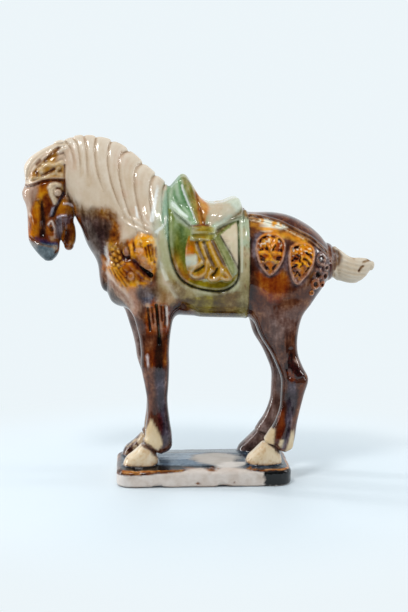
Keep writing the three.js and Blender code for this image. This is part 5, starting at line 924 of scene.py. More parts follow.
    # painted highlight: a pale stroke on the blanket's front edge low down
    c = mix(c, seen(236, 234, 212), .7*on*sstep(.9, -.5, taper(x+.2*w3, z, [(-23.8,125.6),(-22.8,121.4),(-21.0,117.2)], .35, 1.0)))
    inn = sstep(.3, -.3, poly(x, z, INNER))*on*sad
    g = two(seen(114, 124, 66), seen(134, 146, 82), .3+.5*w2+.5*sstep(134, 148, z))
    g = mix(g, seen(72, 100, 66), .7*ridge(x+12.5, 2.2)*sstep(150, 144, z)*sstep(128, 134, z))
    g = mix(g, seen(146, 164, 122), .6*ridge(x+16.5-.12*(z-140), 1.3)*sstep(122, 130, z))
    Zp = Z-8*sstep(-10, -16, x)
    g = mix(g, seen(112, 112, 46), .75*sstep(141, 129, Zp))
    g = mix(g, two(seen(156, 96, 24), seen(148, 122, 34), .4+.6*w2), sstep(128, 119, Zp))
    g = mix(g, seen(118, 66, 24), .75*R([(-19,127),(-14,126),(-11,117),(-13,114),(-18,121)], 1.5)*sstep(-.4, .4, w3))
    g = mix(g, two(MUSTARD, seen(112, 112, 40), .4+.6*w2), .8*sstep(117.5, 115.5, z)*(x > -9))
    g = mix(g, seen(96, 104, 52), .6*sstep(9, 14, x)*sstep(124, 118, z))
    g = mix(g, seen(174, 186, 148), .35*R([(-22,152),(-17.4,150),(-16.6,136),(-19,134)], 1.6))
    g = mix(g, seen(116, 74, 16), .75*R([(-18.9,127.6),(-14.6,126),(-11.4,114.6),(-14.6,114),(-18.4,118.6)], 1.8))
    g = mix(g, seen(184, 182, 104), .45*R([(6.6,129),(11,128.6),(13.4,120),(9.6,119)], 1.6))
    g = mix(g, seen(196, 196, 150), .45*R([(12.6,136),(17.4,134.6),(19,124),(15.6,124.6)], 1.4))
    c = mix(c, g, inn)
    tri = sstep(.35, -.35, poly(x, z, CORNER))*on*sad
    c = mix(c, two(seen(222, 202, 172), seen(204, 198, 164), .2+.5*w2), tri)
    # the cloth fan below the band
    cl = sstep(.3, -.3, poly(x, z, CLOTH))*on*sad
    fu = np.minimum.reduce([line(x, z, r) for r in FURROWS])
    rb = np.minimum.reduce([line(x+.1, z, r) for r in RIBS])
    cu = np.minimum.reduce([line(x, z, r) for r in CURLS])
    a = two(seen(176, 124, 20), seen(138, 104, 28), .35+.5*w2+.3*w3)
    a = mix(a, seen(208, 152, 48), .85*ridge(rb, 1.1)*sstep(122, 126, z))
    # painted shade: lilac-grey in the furrows between the ribs, darker just beside them
    a = mix(a, seen(128, 116, 116), .85*ridge(fu, .6)*sstep(122.5, 126, z))
    a = mix(a, seen(84, 64, 44), .7*ridge(fu-.75, .4)*sstep(122.5, 126, z))
    a = mix(a, two(seen(190, 130, 16), seen(212, 160, 56), .3+.6*w3), .9*ridge(cu, 1.1))
    # painted shade: grey-lilac just under the big curl
    a = mix(a, seen(92, 80, 84), .8*ridge(line(x-.2, z+1.9, CURLS[0][6:])-.2, .6)*(z < 120))
    a = mix(a, seen(104, 84, 50), hollow(.08, .26)*.5)
    a = mix(a, seen(222, 184, 110), edge(.08, .3)*.4)
    a = mix(a, two(seen(228, 222, 194), seen(186, 200, 192), .5+.9*w3), H(CLOTH_ICE, .8)*.92)
    a = mix(a, two(seen(196, 136, 24), seen(160, 124, 44), .5+.8*w3), H(CLOTH_ICE, .8)*.8*sstep(126.4, 123.2, z+.5*w3))
    a = mix(a, seen(168, 112, 24), .9*H([(-10.8,139),(-5.4,139),(-4.8,134.6),(-11,134.4)], .8))
    a = mix(a, two(seen(212, 110, 24), seen(196, 140, 34), .4+.9*w3), H(CLOTH_ORANGE, 1.0)*.95)
    sl = np.minimum.reduce([line(x, z, r) for r in SLITS])
    a = mix(a, seen(58, 36, 20), .95*ridge(sl, .8))
    c = mix(c, a, cl)
    st = plate(line(x, z, STRAP)-2.0, .4)*on*sad*(z < 141)
    c = mix(c, two(seen(140, 142, 88), seen(118, 126, 72), .3+.5*w2), st)
    c = mix(c, seen(184, 180, 130), .6*ridge(line(x+.9, z+.4, STRAP), .5)*st)
    c = mix(c, seen(46, 46, 34), .85*ridge(line(x, z, [(9.0,140.6),(14.2,131.6),(18.8,122.6)]), .6)*on*sad)
    # the seat and its skirts
    dr = np.maximum(sstep(.4, -.4, poly(x, z, DRAPE))*sstep(4, 8, ay), (z > 155.5)*1.)*sstep(-20.5, -19.7, x+.4*w2)*sstep(24.0, 23.2, x)*sad
    j = two(seen(154, 184, 146), seen(204, 210, 182), .34+.6*w2+.4*w1)
    j = mix(j, DEEPJADE, .65*sstep(.2, .7, w1+.4*w3)+.35*hollow(.0, .12))
    j = mix(j, PALEJADE, .75*edge(.02, .14))
    j = mix(j, DEEPJADE, .7*R([(-19.5,152),(-14,152),(-9,146.5),(-10,144.6),(-18,147)], 1.2))
    j = mix(j, two(seen(184, 188, 166), seen(196, 184, 158), .5+.5*w1), sstep(4, 10, x))
    c = mix(c, j, dr)
    c = mix(c, two(seen(200, 186, 162), seen(206, 170, 134), .2+.5*w2), R(SEAT, 1.6)*dr*.97)
    seat = sstep(14, 9, ay)*sstep(-2, 2, x)*sstep(19, 16, x)*(z > 154)
    c = mix(c, two(seen(200, 184, 156), PALEJADE, .3+.5*w1), seat*sad)
    c = mix(c, two(seen(124, 118, 44), seen(156, 134, 60), .4+.6*w3), H(POMMEL_MID, 1.2)*dr*.85)
    c = mix(c, two(seen(84, 132, 72), seen(112, 152, 104), .4+.7*w3), .85*sstep(1.4, -.8, taper(x, z, [(-13.0,171.6),(-11.6,164),(-8.4,156),(-5.4,149.4)], 1.3, .5)+.3*w3)*dr)
    c = mix(c, seen(104, 136, 92), .6*ridge(line(x, z, POMMEL_CREASE), 1.1)*dr)
    c = mix(c, two(seen(126, 124, 50), seen(156, 118, 56), .35+.8*w3+.08*(x+8)), .8*H([(-12.6,173.8),(-8.9,173.4),(-6.2,166.7),(-3.1,157.6),(-.6,147.5),(-4.0,147.5),(-6.4,154.6),(-9.2,162.7),(-11.6,168.7)], 1.0)*dr)
    # painted highlight: a white line along the pommel's rib
    c = mix(c, seen(250, 254, 246), .85*dr*sstep(.4, -.25, taper(x+.2*w3, z, [(-11.9,168.0),(-11.3,165.2),(-9.2,160.0),(-6.4,153.4),(-4.8,149.0)], .5, .15)))
    # painted highlight: a white band along the left skirt's fold
    c = mix(c, seen(240, 248, 236), .8*dr*sstep(.6, -.3, taper(x, z+.2*w3, [(-17.0,158.0),(-13.4,154.2),(-9.4,151.2)], .9, .5)))
    c = mix(c, two(seen(204, 138, 62), seen(190, 108, 30), .4+.6*w2), H(WARM, 1.0)*dr*.92)
    c = mix(c, seen(128, 78, 42), .9*ridge(line(x-.4, z, SEATFOLD), .9)*on*sad)
    c = mix(c, two(seen(212, 222, 206), PALEJADE, .3+.7*w3), .62*H(CANTLE, 1.2)*dr*(1-R(SEAT, 1.6)*.7))
    c = mix(c, seen(206, 184, 156), .6*ridge(z-np.interp(x, [8, 14, 20, 23], [157.5, 160.5, 162.4, 160]), 1.1)*dr*(x > 7))
    # painted shade: a brown-olive band on the blanket just under the skirt's lower edge
    c = mix(c, two(seen(116, 78, 30), seen(96, 88, 46), .5+.8*w3), .88*ridge(line(x, z, [(7.2,142.6),(13.4,147.6),(20.8,153.4),(22.6,155.4)]), 1.5)*on*sad)
    bd = sstep(.5, -.3, poly(x, z, BAND))*on*sad
    b_ = two(seen(172, 132, 34), seen(140, 128, 60), .3+.5*w3+.12*np.abs(x+1))
    b_ = mix(b_, seen(150, 158, 104), .7*sstep(-5.6, -7.2, x)+.7*sstep(4, 6, x))
    c = mix(c, b_, bd)
    c = mix(c, seen(112, 52, 28), .9*ridge(line(x, z, [(-6.8,146.3),(-2,146.8),(2.2,146.6)]), .6)*on*sad)
    dark = hollow(.09, .30)*sad*on
    c = mix(c, seen(74, 74, 44), dark*.6)
    pl = line(x, z, PANEL)
    c = mix(c, two(seen(36, 36, 26), seen(64, 92, 62), sstep(126, 136, z)), .95*ridge(pl, np.interp(z, [112, 128, 140], [.8, .68, .45]))*on*sad*(z < 153)*np.interp(z, [138, 146], [1., .6]))
    c = mix(c, seen(190, 188, 150), .3*ridge(pl-1.9, .9)*sad*on*(poly(x, z, PANEL) > 0)*sstep(105, 118, z)*(z < 152)*(x < 4))
    # painted highlight: a pale line along the panel's raised back rim
    c = mix(c, seen(214, 214, 186), .75*ridge(line(x, z, RIM_R), .6)*sad*on)
    c = mix(c, seen(214, 212, 190), .35*edge(.05, .24)*sad*on*(x < 22))

    # painted shade: a dark band on the rump just behind the blanket's back edge
    c = mix(c, seen(58, 44, 42), .75*sstep(3.6, .4, x-25.2+.4*w3)*sstep(24.9, 25.3, x)*on*sstep(92, 98, z)*(z < 152))

    # harness on the rump
    rmp = (x > 24)*(z > 100)*(z < 156)*1.
    c = mix(c, two(seen(108, 62, 34), seen(58, 34, 24), .4+.6*cloud(x*.1, y*.5, z*.9, 12, 2)), .8*rmp*sstep(-.5, 1.5, z-np.interp(x, [25, 34, 42, 53, 63, 69], [151.5, 150, 147.6, 142.2, 135.6, 131])))
    c = mix(c, two(seen(206, 120, 12), seen(240, 172, 56), .45+.6*w2+.6*w3), H(RUMP_GOLD, 1.6)*rmp*on*.96)
    c = mix(c, seen(96, 48, 12), .8*sstep(.15, .5, w2+.5*w3-.25)*H(RUMP_GOLD, 1.)*rmp*on)
    c = mix(c, seen(104, 60, 12), .8*H([(41.6,147.6),(46.2,146.2),(45.6,142.6),(42.2,141.4),(40.4,144)], 1.1)*rmp*on)
    c = mix(c, two(seen(196, 124, 12), seen(236, 156, 24), .4+w3), .85*H([(47.4,144.6),(50.4,143.6),(55.4,139.8),(53.4,137.6),(47.6,139)], .9)*rmp*on)
    c = mix(c, seen(196, 130, 40), .5*H([(55,127),(60.4,126),(62.4,119.6),(58,117.4)], 1.2)*rmp*on)
    c = mix(c, seen(126, 74, 30), .7*R([(26,150),(31,148),(31,141),(26,141)], 1.5)*rmp*on)
    c = mix(c, two(seen(255, 246, 226), seen(226, 156, 50), .30+1.1*w3+.4*w2), H(GLINT, 1.2)*rmp*on*.95)
    # painted highlights: a white spot at the glint and a pale line under the crupper
    c = mix(c, seen(255, 244, 224), .9*H([(31.4,146.6),(33.4,147.6),(34.6,144.6),(32.6,143.2)], .6)*rmp*on*sstep(-.6, .1, w3))
    c = mix(c, seen(248, 226, 190), .85*ridge(line(x, z+1.9, CRUPPER[:14]), .45)*sstep(-.4, .1, w3)*rmp*on)
    c = mix(c, seen(66, 38, 24), .8*ridge(line(x, z+2.9, CRUPPER[:14]), .4)*rmp*on*sstep(-.3, .3, w2))
    for k_, (outline, (cx, cz), pits, lobes) in enumerate(PLAQUES):
        sd = poly(x, z, outline)
        v = z-cz
        lf = np.maximum.reduce([ridge(line(x+.2*w3, z+.2*w3, r), .95) for r in lobes])
        a = two(seen(150, 72, 8), seen(206, 118, 10), .4+.9*w3)
        a = mix(a, two(seen(236, 142, 10), seen(252, 178, 44), .35+1.0*w3), lf*sstep(-1.1, -.2, w3+.4*w2))
        a = mix(a, two(seen(240, 148, 10), seen(210, 112, 6), .5+w3), .6*sstep(4.2, 1.4, np.hypot(x-cx, (v-2.4)*.8)+.8*w3))
        a = mix(a, two(seen(128, 92, 80), seen(188, 122, 56), .45+1.3*w3), .85*sstep(-4.5, -8.5, v+1.6*w3))
        a = mix(a, seen(196, 110, 20), .85*H([(cx-.2,cz-6.5),(cx+1.5,cz-9.5),(cx-.2,cz-12),(cx-1.8,cz-9.5)], .5))
        a = mix(a, seen(84, 38, 8), .8*hollow(.05, .20))
        # painted highlight: pale gold on the upper edges of the plaque
        a = mix(a, seen(255, 214, 130), .6*edge(.08, .24)*sstep(-6, 3, v+w3)*sstep(-.1, .4, w3+.3*w2))
        u_, v_ = x+.55*noise(x*.8, z*.8, x*0, 51), z+.55*noise(x*.8, z*.8, x*0, 52)
        pt = np.maximum.reduce([sstep(.5, -.3, taper(u_, v_, r, .25, .62)) for r in pits])
        a = mix(a, mix(two(seen(104, 50, 8), seen(44, 24, 16), .4+1.2*w3), two(seen(84, 66, 62), seen(48, 36, 38), .5+w3), sstep(-5, -8, v)), .9*pt*sstep(-.9, -.2, w3+.5*w2+.3-.05*v))
        a = mix(a, two(seen(112, 58, 16), seen(72, 60, 62), sstep(-3, -8, v)), .5*sstep(.32, .6, noise(x*.85, z*.75, x*0, 55)))
        # painted glints: cream-white specks on the plaque's upper part
        a = mix(a, seen(252, 236, 206), .8*sstep(.5, .7, noise(x*.9, z*.9, x*0, 56))*sstep(-3, 2, v))
        a = mix(a, mix(two(seen(172, 128, 108), seen(204, 160, 138), .5+1.2*w3), seen(220, 136, 36), .10*v+.2+.8*w3), sstep(-1.25, -.7, sd+.4*w3)*.9)
        c = mix(c, a, sstep(.5, -.4, sd)*on*rmp)
        c = mix(c, two(seen(70, 52, 50), seen(112, 100, 106), .4+w2), .8*ridge(sd-1.1, .9)*on*(sd > 0)*rmp*sstep(6, 0, v))
        if k_ == 0: c = mix(c, seen(128, 120, 128), .75*ridge(line(x, z, [(28.0,135.6),(28.6,139.2),(31.4,142.2)]), .9)*on*rmp)
    c = mix(c, two(seen(66, 54, 58), seen(96, 84, 90), .4+w2), .75*R([(61.4,134),(68,132),(72,122),(66,102),(60,102),(62,118)], 1.5)*rmp*on)
    for (cx, cz, r) in RINGS:
        d = np.hypot(x-cx, (z-cz)*.86)+.35*noise(x*.5, z*.5, x*0, 54)
        low_ = .12*(119-cz)
        hi = mix(two(seen(112, 92, 90), seen(160, 120, 100), .5+1.2*w3), two(seen(206, 120, 44), seen(150, 78, 30), .5+w3), np.clip(low_+.5*w3, 0, 1)*np.ones(n))
        c = mix(c, hi, sstep(r+.4, r-.1, d)*on*rmp*.9*sstep(-1.2, -.4, w3+.5*w2))
        c = mix(c, seen(36, 26, 30), sstep(r*.62, r*.25, d+.25*w3)*on*rmp*.95)
    # painted highlight: a pale line below the crupper's end
    c = mix(c, seen(220, 206, 200), .8*ridge(line(x, z, [(63.2,131.6),(67.4,129.4),(69.4,126.0)]), .4)*on*rmp*sstep(-.3, .3, w3+.4*w2))
    c = mix(c, two(seen(158, 84, 4), seen(124, 60, 8), .35+.5*w2+.05*(114-z)+.3*hair), R(UNDERLEAF, 1.8)*rmp*on*.97*sstep(.5, 2.5, np.minimum(*[poly(x, z, o_[0]) for o_ in PLAQUES])))
    dcr = line(x, z, CRUPPER)
    c = mix(c, seen(128, 88, 60), .75*plate(dcr-1.3, .4)*rmp*on)
    c = mix(c, seen(60, 40, 32), .8*ridge(dcr, .45)*rmp*on)
    c = mix(c, seen(54, 38, 32), hollow(.06, .25)*rmp*on*.6)
    sp_ = noise(x*.7, z*.7, x*0, 57)
    c = mix(c, two(seen(255, 246, 224), seen(240, 164, 50), .35+1.4*sp_), .9*H(GLINT, .6)*rmp*on*sstep(-1.2, -.5, sp_+.4*w3))

    # tail
    tl = sstep(-.9, .9, x+.5*w2-70.9-3.6*sstep(121.5, 126.5, z))*(z > 104)*np.maximum(sstep(8.0, 6.4, ay+.4*w2), sstep(75, 77, x))
    tc = two(seen(215, 197, 172), seen(204, 181, 154), .4+.4*w2+.3*w1)
    tc = mix(tc, seen(176, 152, 128), hollow(.01, .10)*.6)
    tc = mix(tc, seen(226, 214, 196), edge(.02, .1)*.5)
    tc = mix(tc, two(seen(104, 68, 36), seen(70, 46, 28), .4+w3), .92*H([(73.6,131.4),(77.4,130.6),(79.4,127.6),(79.0,124.2),(76.6,121.6),(73.6,121.4)], 1.)*sstep(-1.1, -.3, w2+.3*w3))
    tc = mix(tc, seen(150, 112, 74), .8*ridge(line(x, z, [(75,133.0),(79,131.0),(84.0,127.4),(86.4,125.6)]), .6))
    for cut in TIPCUTS: tc = mix(tc, two(seen(130, 92, 50), seen(100, 66, 34), .5+w3), .9*sstep(1.0, .3, line(x+.2*w3, z, cut)))
    c = mix(c, tc, tl)

    # feet: wax-pale hooves and the places the brown glaze missed
    bz = BTOP+BDOME*sstep(0, 20, -rim(x, y))
    lift = z-bz
    hoofs = np.zeros(n)
    for (a_, b_) in (((-36.2, 24.6), (-24.6, 15.0)), ((33.6, 23.8), (46.0, 15.4))):
        L = math.hypot(b_[0]-a_[0], b_[1]-a_[1])
        below = ((x-a_[0])*(b_[1]-a_[1])-(z-a_[1])*(b_[0]-a_[0]))/L      # in front of and under the coronet
        k = (x > -52)*(x < -20) if a_[0] < 0 else (x > 18)*(x < 50)
        hoofs = np.maximum(hoofs, sstep(-.4, .4, below+.3*w2)*k)
    hoofs = hoofs*sstep(.5, 1.3, lift+.4*w3)*(z < 26)
    hc = two(seen(226, 206, 176), seen(212, 184, 146), .3+.6*w2)
    hc = mix(hc, seen(172, 112, 58), .7*sstep(2.0, .6, lift+1.0*w3))
    hc = mix(hc, seen(196, 150, 104), .5*sstep(.1, .5, w3+.4*w2))
    hc = mix(hc, seen(116, 70, 34), .9*sstep(.35, .65, w3+.3*w2)*np.maximum(sstep(4, 2, np.hypot(x+45, lift-2.4)), sstep(4, 2, np.hypot(x-24.5, lift-2.6))))
    farfore, farhind = (~near)*(x < 0), (~near)*(x > 0)
    c = mix(c, hc, hoofs*np.where(farhind, .0, np.where(farfore, .75*sstep(-.3, .2, w2+.15*(x+36)*.3), 1.)))
    for i, pts in enumerate(PASTERN):
        keep = near*1. if i else np.where(near, 1., .35)
        c = mix(c, two(seen(218, 196, 160), seen(204, 174, 134), .3+.5*w2), H(pts, .6)*(z < 42)*keep*(z > 15))
    band = np.minimum(line(x, z, [(-36.2,24.0),(-30,20.8),(-25.2,15.6)]), line(x, z, [(34.6,22.8),(40,20.6),(46,16)]))
    c = mix(c, two(seen(70, 48, 46), seen(106, 70, 54), .4+w3), .9*sstep(2.1, 1.2, band+.4*w3)*(z < 27)*(z > 13.5)*near*((x < 0)*1.+(x > 40)*1.))
    c = mix(c, BLACK, hollow(.10, .3)*(z < 42)*(z > 12)*.7*(1-hoofs))

    # plinth
    d2 = rim(x, y)
    onbase = sstep(1.2, .4, lift+.3*w3)
    # the top's blue-black glaze, with painted reflections: lighter blue-grey toward the back and a pale streaky band in
    # the middle; it is painted darker along the front
    top = two(seen(26, 34, 46), seen(58, 72, 86), .25+.5*w1+.5*cloud(x*.10, y*.6, z*0, 8)+.5*sstep(-20, -10, y)-.3)
    top = mix(top, seen(96, 112, 124), .4*sstep(.2, .8, cloud(x*.09, y*.9, z*0, 14, 2)+.3*w3)*sstep(-20, -8, y))
    top = mix(top, seen(60, 50, 44), .2*sstep(.3, .8, w2))
    streaky = cloud(x*.07, y*.8, z*0, 15, 2)
    top = mix(top, two(seen(112, 132, 152), seen(134, 152, 168), .5+.8*streaky), .8*sstep(-18.5, -15.5, y+1.5*streaky+.06*(x+20))*sstep(10, 4, y)*sstep(-33, -26, x+2*streaky)*sstep(6, -2, x))
    top = mix(top, seen(66, 80, 94), .6*sstep(16, 24, x)*sstep(-.3, .5, streaky))
    top = mix(top, seen(20, 26, 34), .8*sstep(-17.5, -19.5, y+1.0*streaky)*sstep(2, -6, x))
    c = mix(c, top, onbase)
    patch = np.hypot((x-6.6-.8*w2)/13.2, (y+6.0+1.0*w2)/11.5)
    pt = sstep(1.04, .97, patch+.03*w3)*onbase
    spill = np.hypot((x-15.4-1.2*w2)/8.8, (y+18.0-.2*(x-15)+.8*w3)/4.2)
    sp = sstep(1.1, .8, spill+.12*w2)*onbase
    clay = two(seen(222, 209, 199), seen(192, 172, 156), .30+.5*w2+.3*w3)
    c = mix(c, two(seen(200, 193, 186), seen(182, 171, 160), .5+.6*w2), pt)
    c = mix(c, seen(112, 106, 104), .7*onbase*ridge((patch-1.02)*12, .7)*(1-sp))
    c = mix(c, seen(230, 220, 211), sp*.85)
    bare = np.maximum(np.maximum(pt*.75, sp*.5), onbase*.20)
    bare = np.maximum(bare, .07*np.clip(np.maximum(mane_on, tl), 0, 1))      # the cream glaze is a little duller
    # the glaze stops at the arris and the sides are bare clay
    edge_z = np.where(y < -15, np.interp(x, [-48, -33.5, -20.5, -11.8, -7.6, -3.6, 5, 16.4, 23, 31.7, 45], [6.9, 7.3, 8.2, 8.9, 9.9, 11.6, 13, 11.4, 9.4, 8.2, 7.6]), 7.8)+.25*cloud(x*.2, y*.2, x*0, 6)+.15*cloud(x*.9, y*.9, x*0, 7, 2)
    side = sstep(.25, -.25, z-edge_z)*sstep(-6, -4.5, d2)
    corner = sstep(-9, -10, y+.8*w2)*sstep(33.2, 33.7, x+.08*w2)*sstep(8.9, 8.5, z)
    side = side*(1-corner*.97)
    lip = sstep(-2.6, -1.9, d2+.3*w3)*onbase*(z > edge_z-.3)
    lip = lip*(1-.8*sstep(-45.2, -47.4, x)*near)
    gone = sstep(.35, .75, np.exp(-((x-8)/11.)**2)+.15*w2)*near
    lip = lip*np.where(near & (y < -15), sstep(.9, 1.5, z-edge_z+.2*w3), 1.)
    c = mix(c, two(seen(164, 96, 34), seen(206, 150, 96), .3+.6*w3), lip*(1-gone)*.95*near)
    c = mix(c, two(seen(54, 32, 24), seen(150, 88, 36), .4+1.2*w3), .92*sstep(-.1, .2, z-edge_z)*sstep(1.3, .9, z-edge_z)*(1-gone)*near*(d2 > -4)*(y < -15))
    c = mix(c, two(seen(150, 96, 52), BROWN, .5+.6*w3), lip*(1-near)*.8)
    c = mix(c, clay, side)
    c = mix(c, seen(14, 20, 32), corner*sstep(-6, -4.5, d2)*.97)
    # brown drips and knocks on the front's clay
    front = (y < -21)*(z < 14)
    for (cx, cz, p, q) in ((4.4, 9.3, 2.8, .9), (1.4, 9.7, 1.5, .5), (7.5, 9.6, 1.2, .5), (-3.7, 2.2, 1.6, 1.0), (16.4, 2.4, .8, .6), (-23.4, .3, 3.4, .5), (11.4, .9, 3.6, .35), (-38.2, 7.6, 1.2, .4)):
        c = mix(c, two(seen(156, 96, 40), seen(84, 50, 30), .5+w3), .9*sstep(1.15, .35, np.hypot((x-cx)/p, (z-cz)/q)+.45*w3)*front)
    c = mix(c, seen(222, 214, 208), .6*sstep(-40, -46, x+1.5*w2)*side)
    for (cx, cz, r) in ((4.6, 10.2, 1.5), (7.4, 10.6, 1.3), (2.0, 10.8, 1.0), (-3.7, 2.6, 1.0), (-2.4, 1.6, .6), (-8.4, 9.8, .7), (26.0, 9.4, .8), (-24.0, 8.6, .8), (-14.0, 9.4, .7)):
        d = np.hypot((x-cx)*.75, z-cz)+.55*w3
        c = mix(c, two(seen(124, 76, 40), seen(92, 58, 36), .5+.8*w3), sstep(r, r*.5, d)*near*(y < -20)*.9)
    c = mix(c, seen(150, 122, 104), .55*sstep(1.2, .2, z+.3*w3)*side)
    c = mix(c, seen(92, 66, 50), .5*hollow(.04, .18)*side)
    bare = np.maximum(bare, side*.97)
    under = sstep(-.6, -.85, N[:, 2])*(z < 1)
    c = mix(c, clay, under)
    bare = np.maximum(bare, under)
    return np.clip(c, .001, 1), np.clip(bare, 0, 1)


# ---------------------------------------------------------------- the piece
def build_mesh():
    P, Q = surface(field, (-106, -31, -1.7), (101, 31, 198.4), CELL)
    P[P[:, 2] < .45*CELL, 2] = 0
    me = bpy.data.meshes.new("dense")
    me.vertices.add(len(P)); me.loops.add(len(Q)*4); me.polygons.add(len(Q))
    me.vertices.foreach_set("co", (P/1000.).ravel())
    me.loops.foreach_set("vertex_index", Q.ravel().astype(np.int32))
    me.polygons.foreach_set("loop_start", np.arange(0, len(Q)*4, 4, dtype=np.int32))
    me.update(calc_edges=True)
    ob = bpy.data.objects.new("dense", me)
    bpy.context.scene.collection.objects.link(ob)
    ob.modifiers.new("tri", "TRIANGULATE")
    thin = ob.modifiers.new("thin", "DECIMATE")
    thin.ratio = TRIANGLES/(2.*len(Q))
    dg = bpy.context.evaluated_depsgraph_get()
    out = bpy.data.meshes.new_from_object(ob.evaluated_get(dg))
    bpy.data.objects.remove(ob)
    bpy.data.meshes.remove(me)
    return out


def vertices(me):
    P = np.empty(len(me.vertices)*3)
    me.vertices.foreach_get("co", P)
    return P.reshape(-1, 3)*1000.


me = build_mesh()
me.name = "tomb_horse_glazed"
P = vertices(me)
# settle every vertex on the exact surface
G = gradient(field, P)
g2 = np.maximum((G**2).sum(1), .3)
P2 = P-G*np.clip(field(P)/g2, -.12, .12)[:, None]
flat = P[:, 2] < .02
P2[flat] = P[flat]
P2[:, 2] = np.maximum(P2[:, 2], 0)
P = P2
me.vertices.foreach_set("co", (P/1000.).ravel())
me.update()
N = G/np.maximum(np.linalg.norm(G, axis=1), 1e-6)[:, None]

E = np.empty(len(me.edges)*2, np.int32)
me.edges.foreach_get("vertices", E)
E = E.reshape(-1, 2)


def smoothed(V, times):
    deg = np.bincount(E.ravel(), minlength=len(P)).astype(float)
    for _ in range(times):
        acc = np.stack([np.bincount(E[:, 0], V[E[:, 1], k], len(P))+np.bincount(E[:, 1], V[E[:, 0], k], len(P)) for k in range(V.shape[1])], 1)
        V = .5*V+.5*acc/deg[:, None]
    return V


# hollowness: how far the surroundings stand above the point
near_by = smoothed(P, 5)
cav = ((near_by-P)*N).sum(1)
wide = ((smoothed(near_by, 13)-P)*N).sum(1)
cav, wide = smoothed(np.c_[cav, wide], 1).T
colour, bare = paint(P, N, cav, wide)
a = me.color_attributes.new("glaze", "FLOAT_COLOR", "POINT")
a.data.foreach_set("color", np.c_[colour, np.ones(len(P))].astype(np.float32).ravel())
b = me.attributes.new("bare", "FLOAT", "POINT")
b.data.foreach_set("value", bare.astype(np.float32))
me.shade_smooth()
shade = N.copy()
shade[flat] = (0, 0, -1)
me.normals_split_custom_set_from_vertices(shade.tolist())
horse = bpy.data.objects.new("tomb_horse_glazed", me)
bpy.context.scene.collection.objects.link(horse)
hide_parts("tomb_horse")
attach(horse, "root")


# ---------------------------------------------------------------- glaze material
def glaze_material():
    mat = bpy.data.materials.new("glazed_earthenware")
    mat.use_nodes = True
    nt = mat.node_tree
    bsdf = nt.nodes["Principled BSDF"]
    new = nt.nodes.new
    link = nt.links.new
    geo = new("ShaderNodeTexCoord")
    col = new("ShaderNodeAttribute"); col.attribute_name = "glaze"
    bar = new("ShaderNodeAttribute"); bar.attribute_name = "bare"

    def noise_node(scale, detail, stretch=(1, 1, 1)):
        m = new("ShaderNodeMapping"); m.inputs["Scale"].default_value = stretch
        link(geo.outputs["Object"], m.inputs["Vector"])
        t = new("ShaderNodeTexNoise"); t.inputs["Scale"].default_value = scale; t.inputs["Detail"].default_value = detail
        link(m.outputs["Vector"], t.inputs["Vector"])
        return t

    mottle = noise_node(150., 4.)
    streak = noise_node(420., 3., (1, 1, .18))
    fine = noise_node(700., 2.)
    grain = noise_node(1500., 2.)

    def maths(kind, a, b):
        m = new("ShaderNodeMath"); m.operation = kind
        for k, v in enumerate((a, b)):
            if isinstance(v, float): m.inputs[k].default_value = v
            else: link(v, m.inputs[k])
        return m.outputs[0]

    # a glaze colours by its depth: raising its colour to a power deepens it where it pooled
    depth = maths("ADD", maths("MULTIPLY", maths("SUBTRACT", mottle.outputs["Fac"], .5), 1.5), maths("MULTIPLY", maths("SUBTRACT", streak.outputs["Fac"], .5), .9))
    depth = maths("ADD", depth, maths("MULTIPLY", maths("SUBTRACT", fine.outputs["Fac"], .5), .6))
    # pale glaze and bare clay vary less
    bw = new("ShaderNodeRGBToBW"); link(col.outputs["Color"], bw.inputs[0])
    pale = new("ShaderNodeMapRange"); pale.inputs["From Min"].default_value = .12; pale.inputs["From Max"].default_value = .42
    pale.inputs["To Min"].default_value = 1.; pale.inputs["To Max"].default_value = .30
    link(bw.outputs[0], pale.inputs["Value"])
    depth = maths("MULTIPLY", depth, pale.outputs["Result"])
    depth = maths("MULTIPLY", depth, maths("SUBTRACT", 1., maths("MULTIPLY", bar.outputs["Fac"], .6)))
    gm = new("ShaderNodeGamma")
    link(col.outputs["Color"], gm.inputs["Color"]); link(maths("ADD", depth, 1.), gm.inputs["Gamma"])
    link(gm.outputs["Color"], bsdf.inputs["Base Color"])
    rough = new("ShaderNodeMapRange")
    rough.inputs["To Min"].default_value = .07; rough.inputs["To Max"].default_value = .78
    link(bar.outputs["Fac"], rough.inputs["Value"])
    link(rough.outputs["Result"], bsdf.inputs["Roughness"])
    bsdf.inputs["IOR"].default_value = 1.5
    # bump: the glaze is nearly level, the clay is grainy
    b1 = new("ShaderNodeBump"); b1.inputs["Strength"].default_value = .10; b1.inputs["Distance"].default_value = .0004
    link(mottle.outputs["Fac"], b1.inputs["Height"])
    b2 = new("ShaderNodeBump"); b2.inputs["Distance"].default_value = .0002
    link(maths("MULTIPLY", grain.outputs["Fac"], bar.outputs["Fac"]), b2.inputs["Height"])
    b2.inputs["Strength"].default_value = .6
    link(b1.outputs["Normal"], b2.inputs["Normal"])
    link(b2.outputs["Normal"], bsdf.inputs["Normal"])
    return mat


me.materials.clear()
me.materials.append(glaze_material())


# ---------------------------------------------------------------- studio
BACKDROP = (.845, .915, .950)
bpy.context.scene.view_settings.view_transform = "Standard"

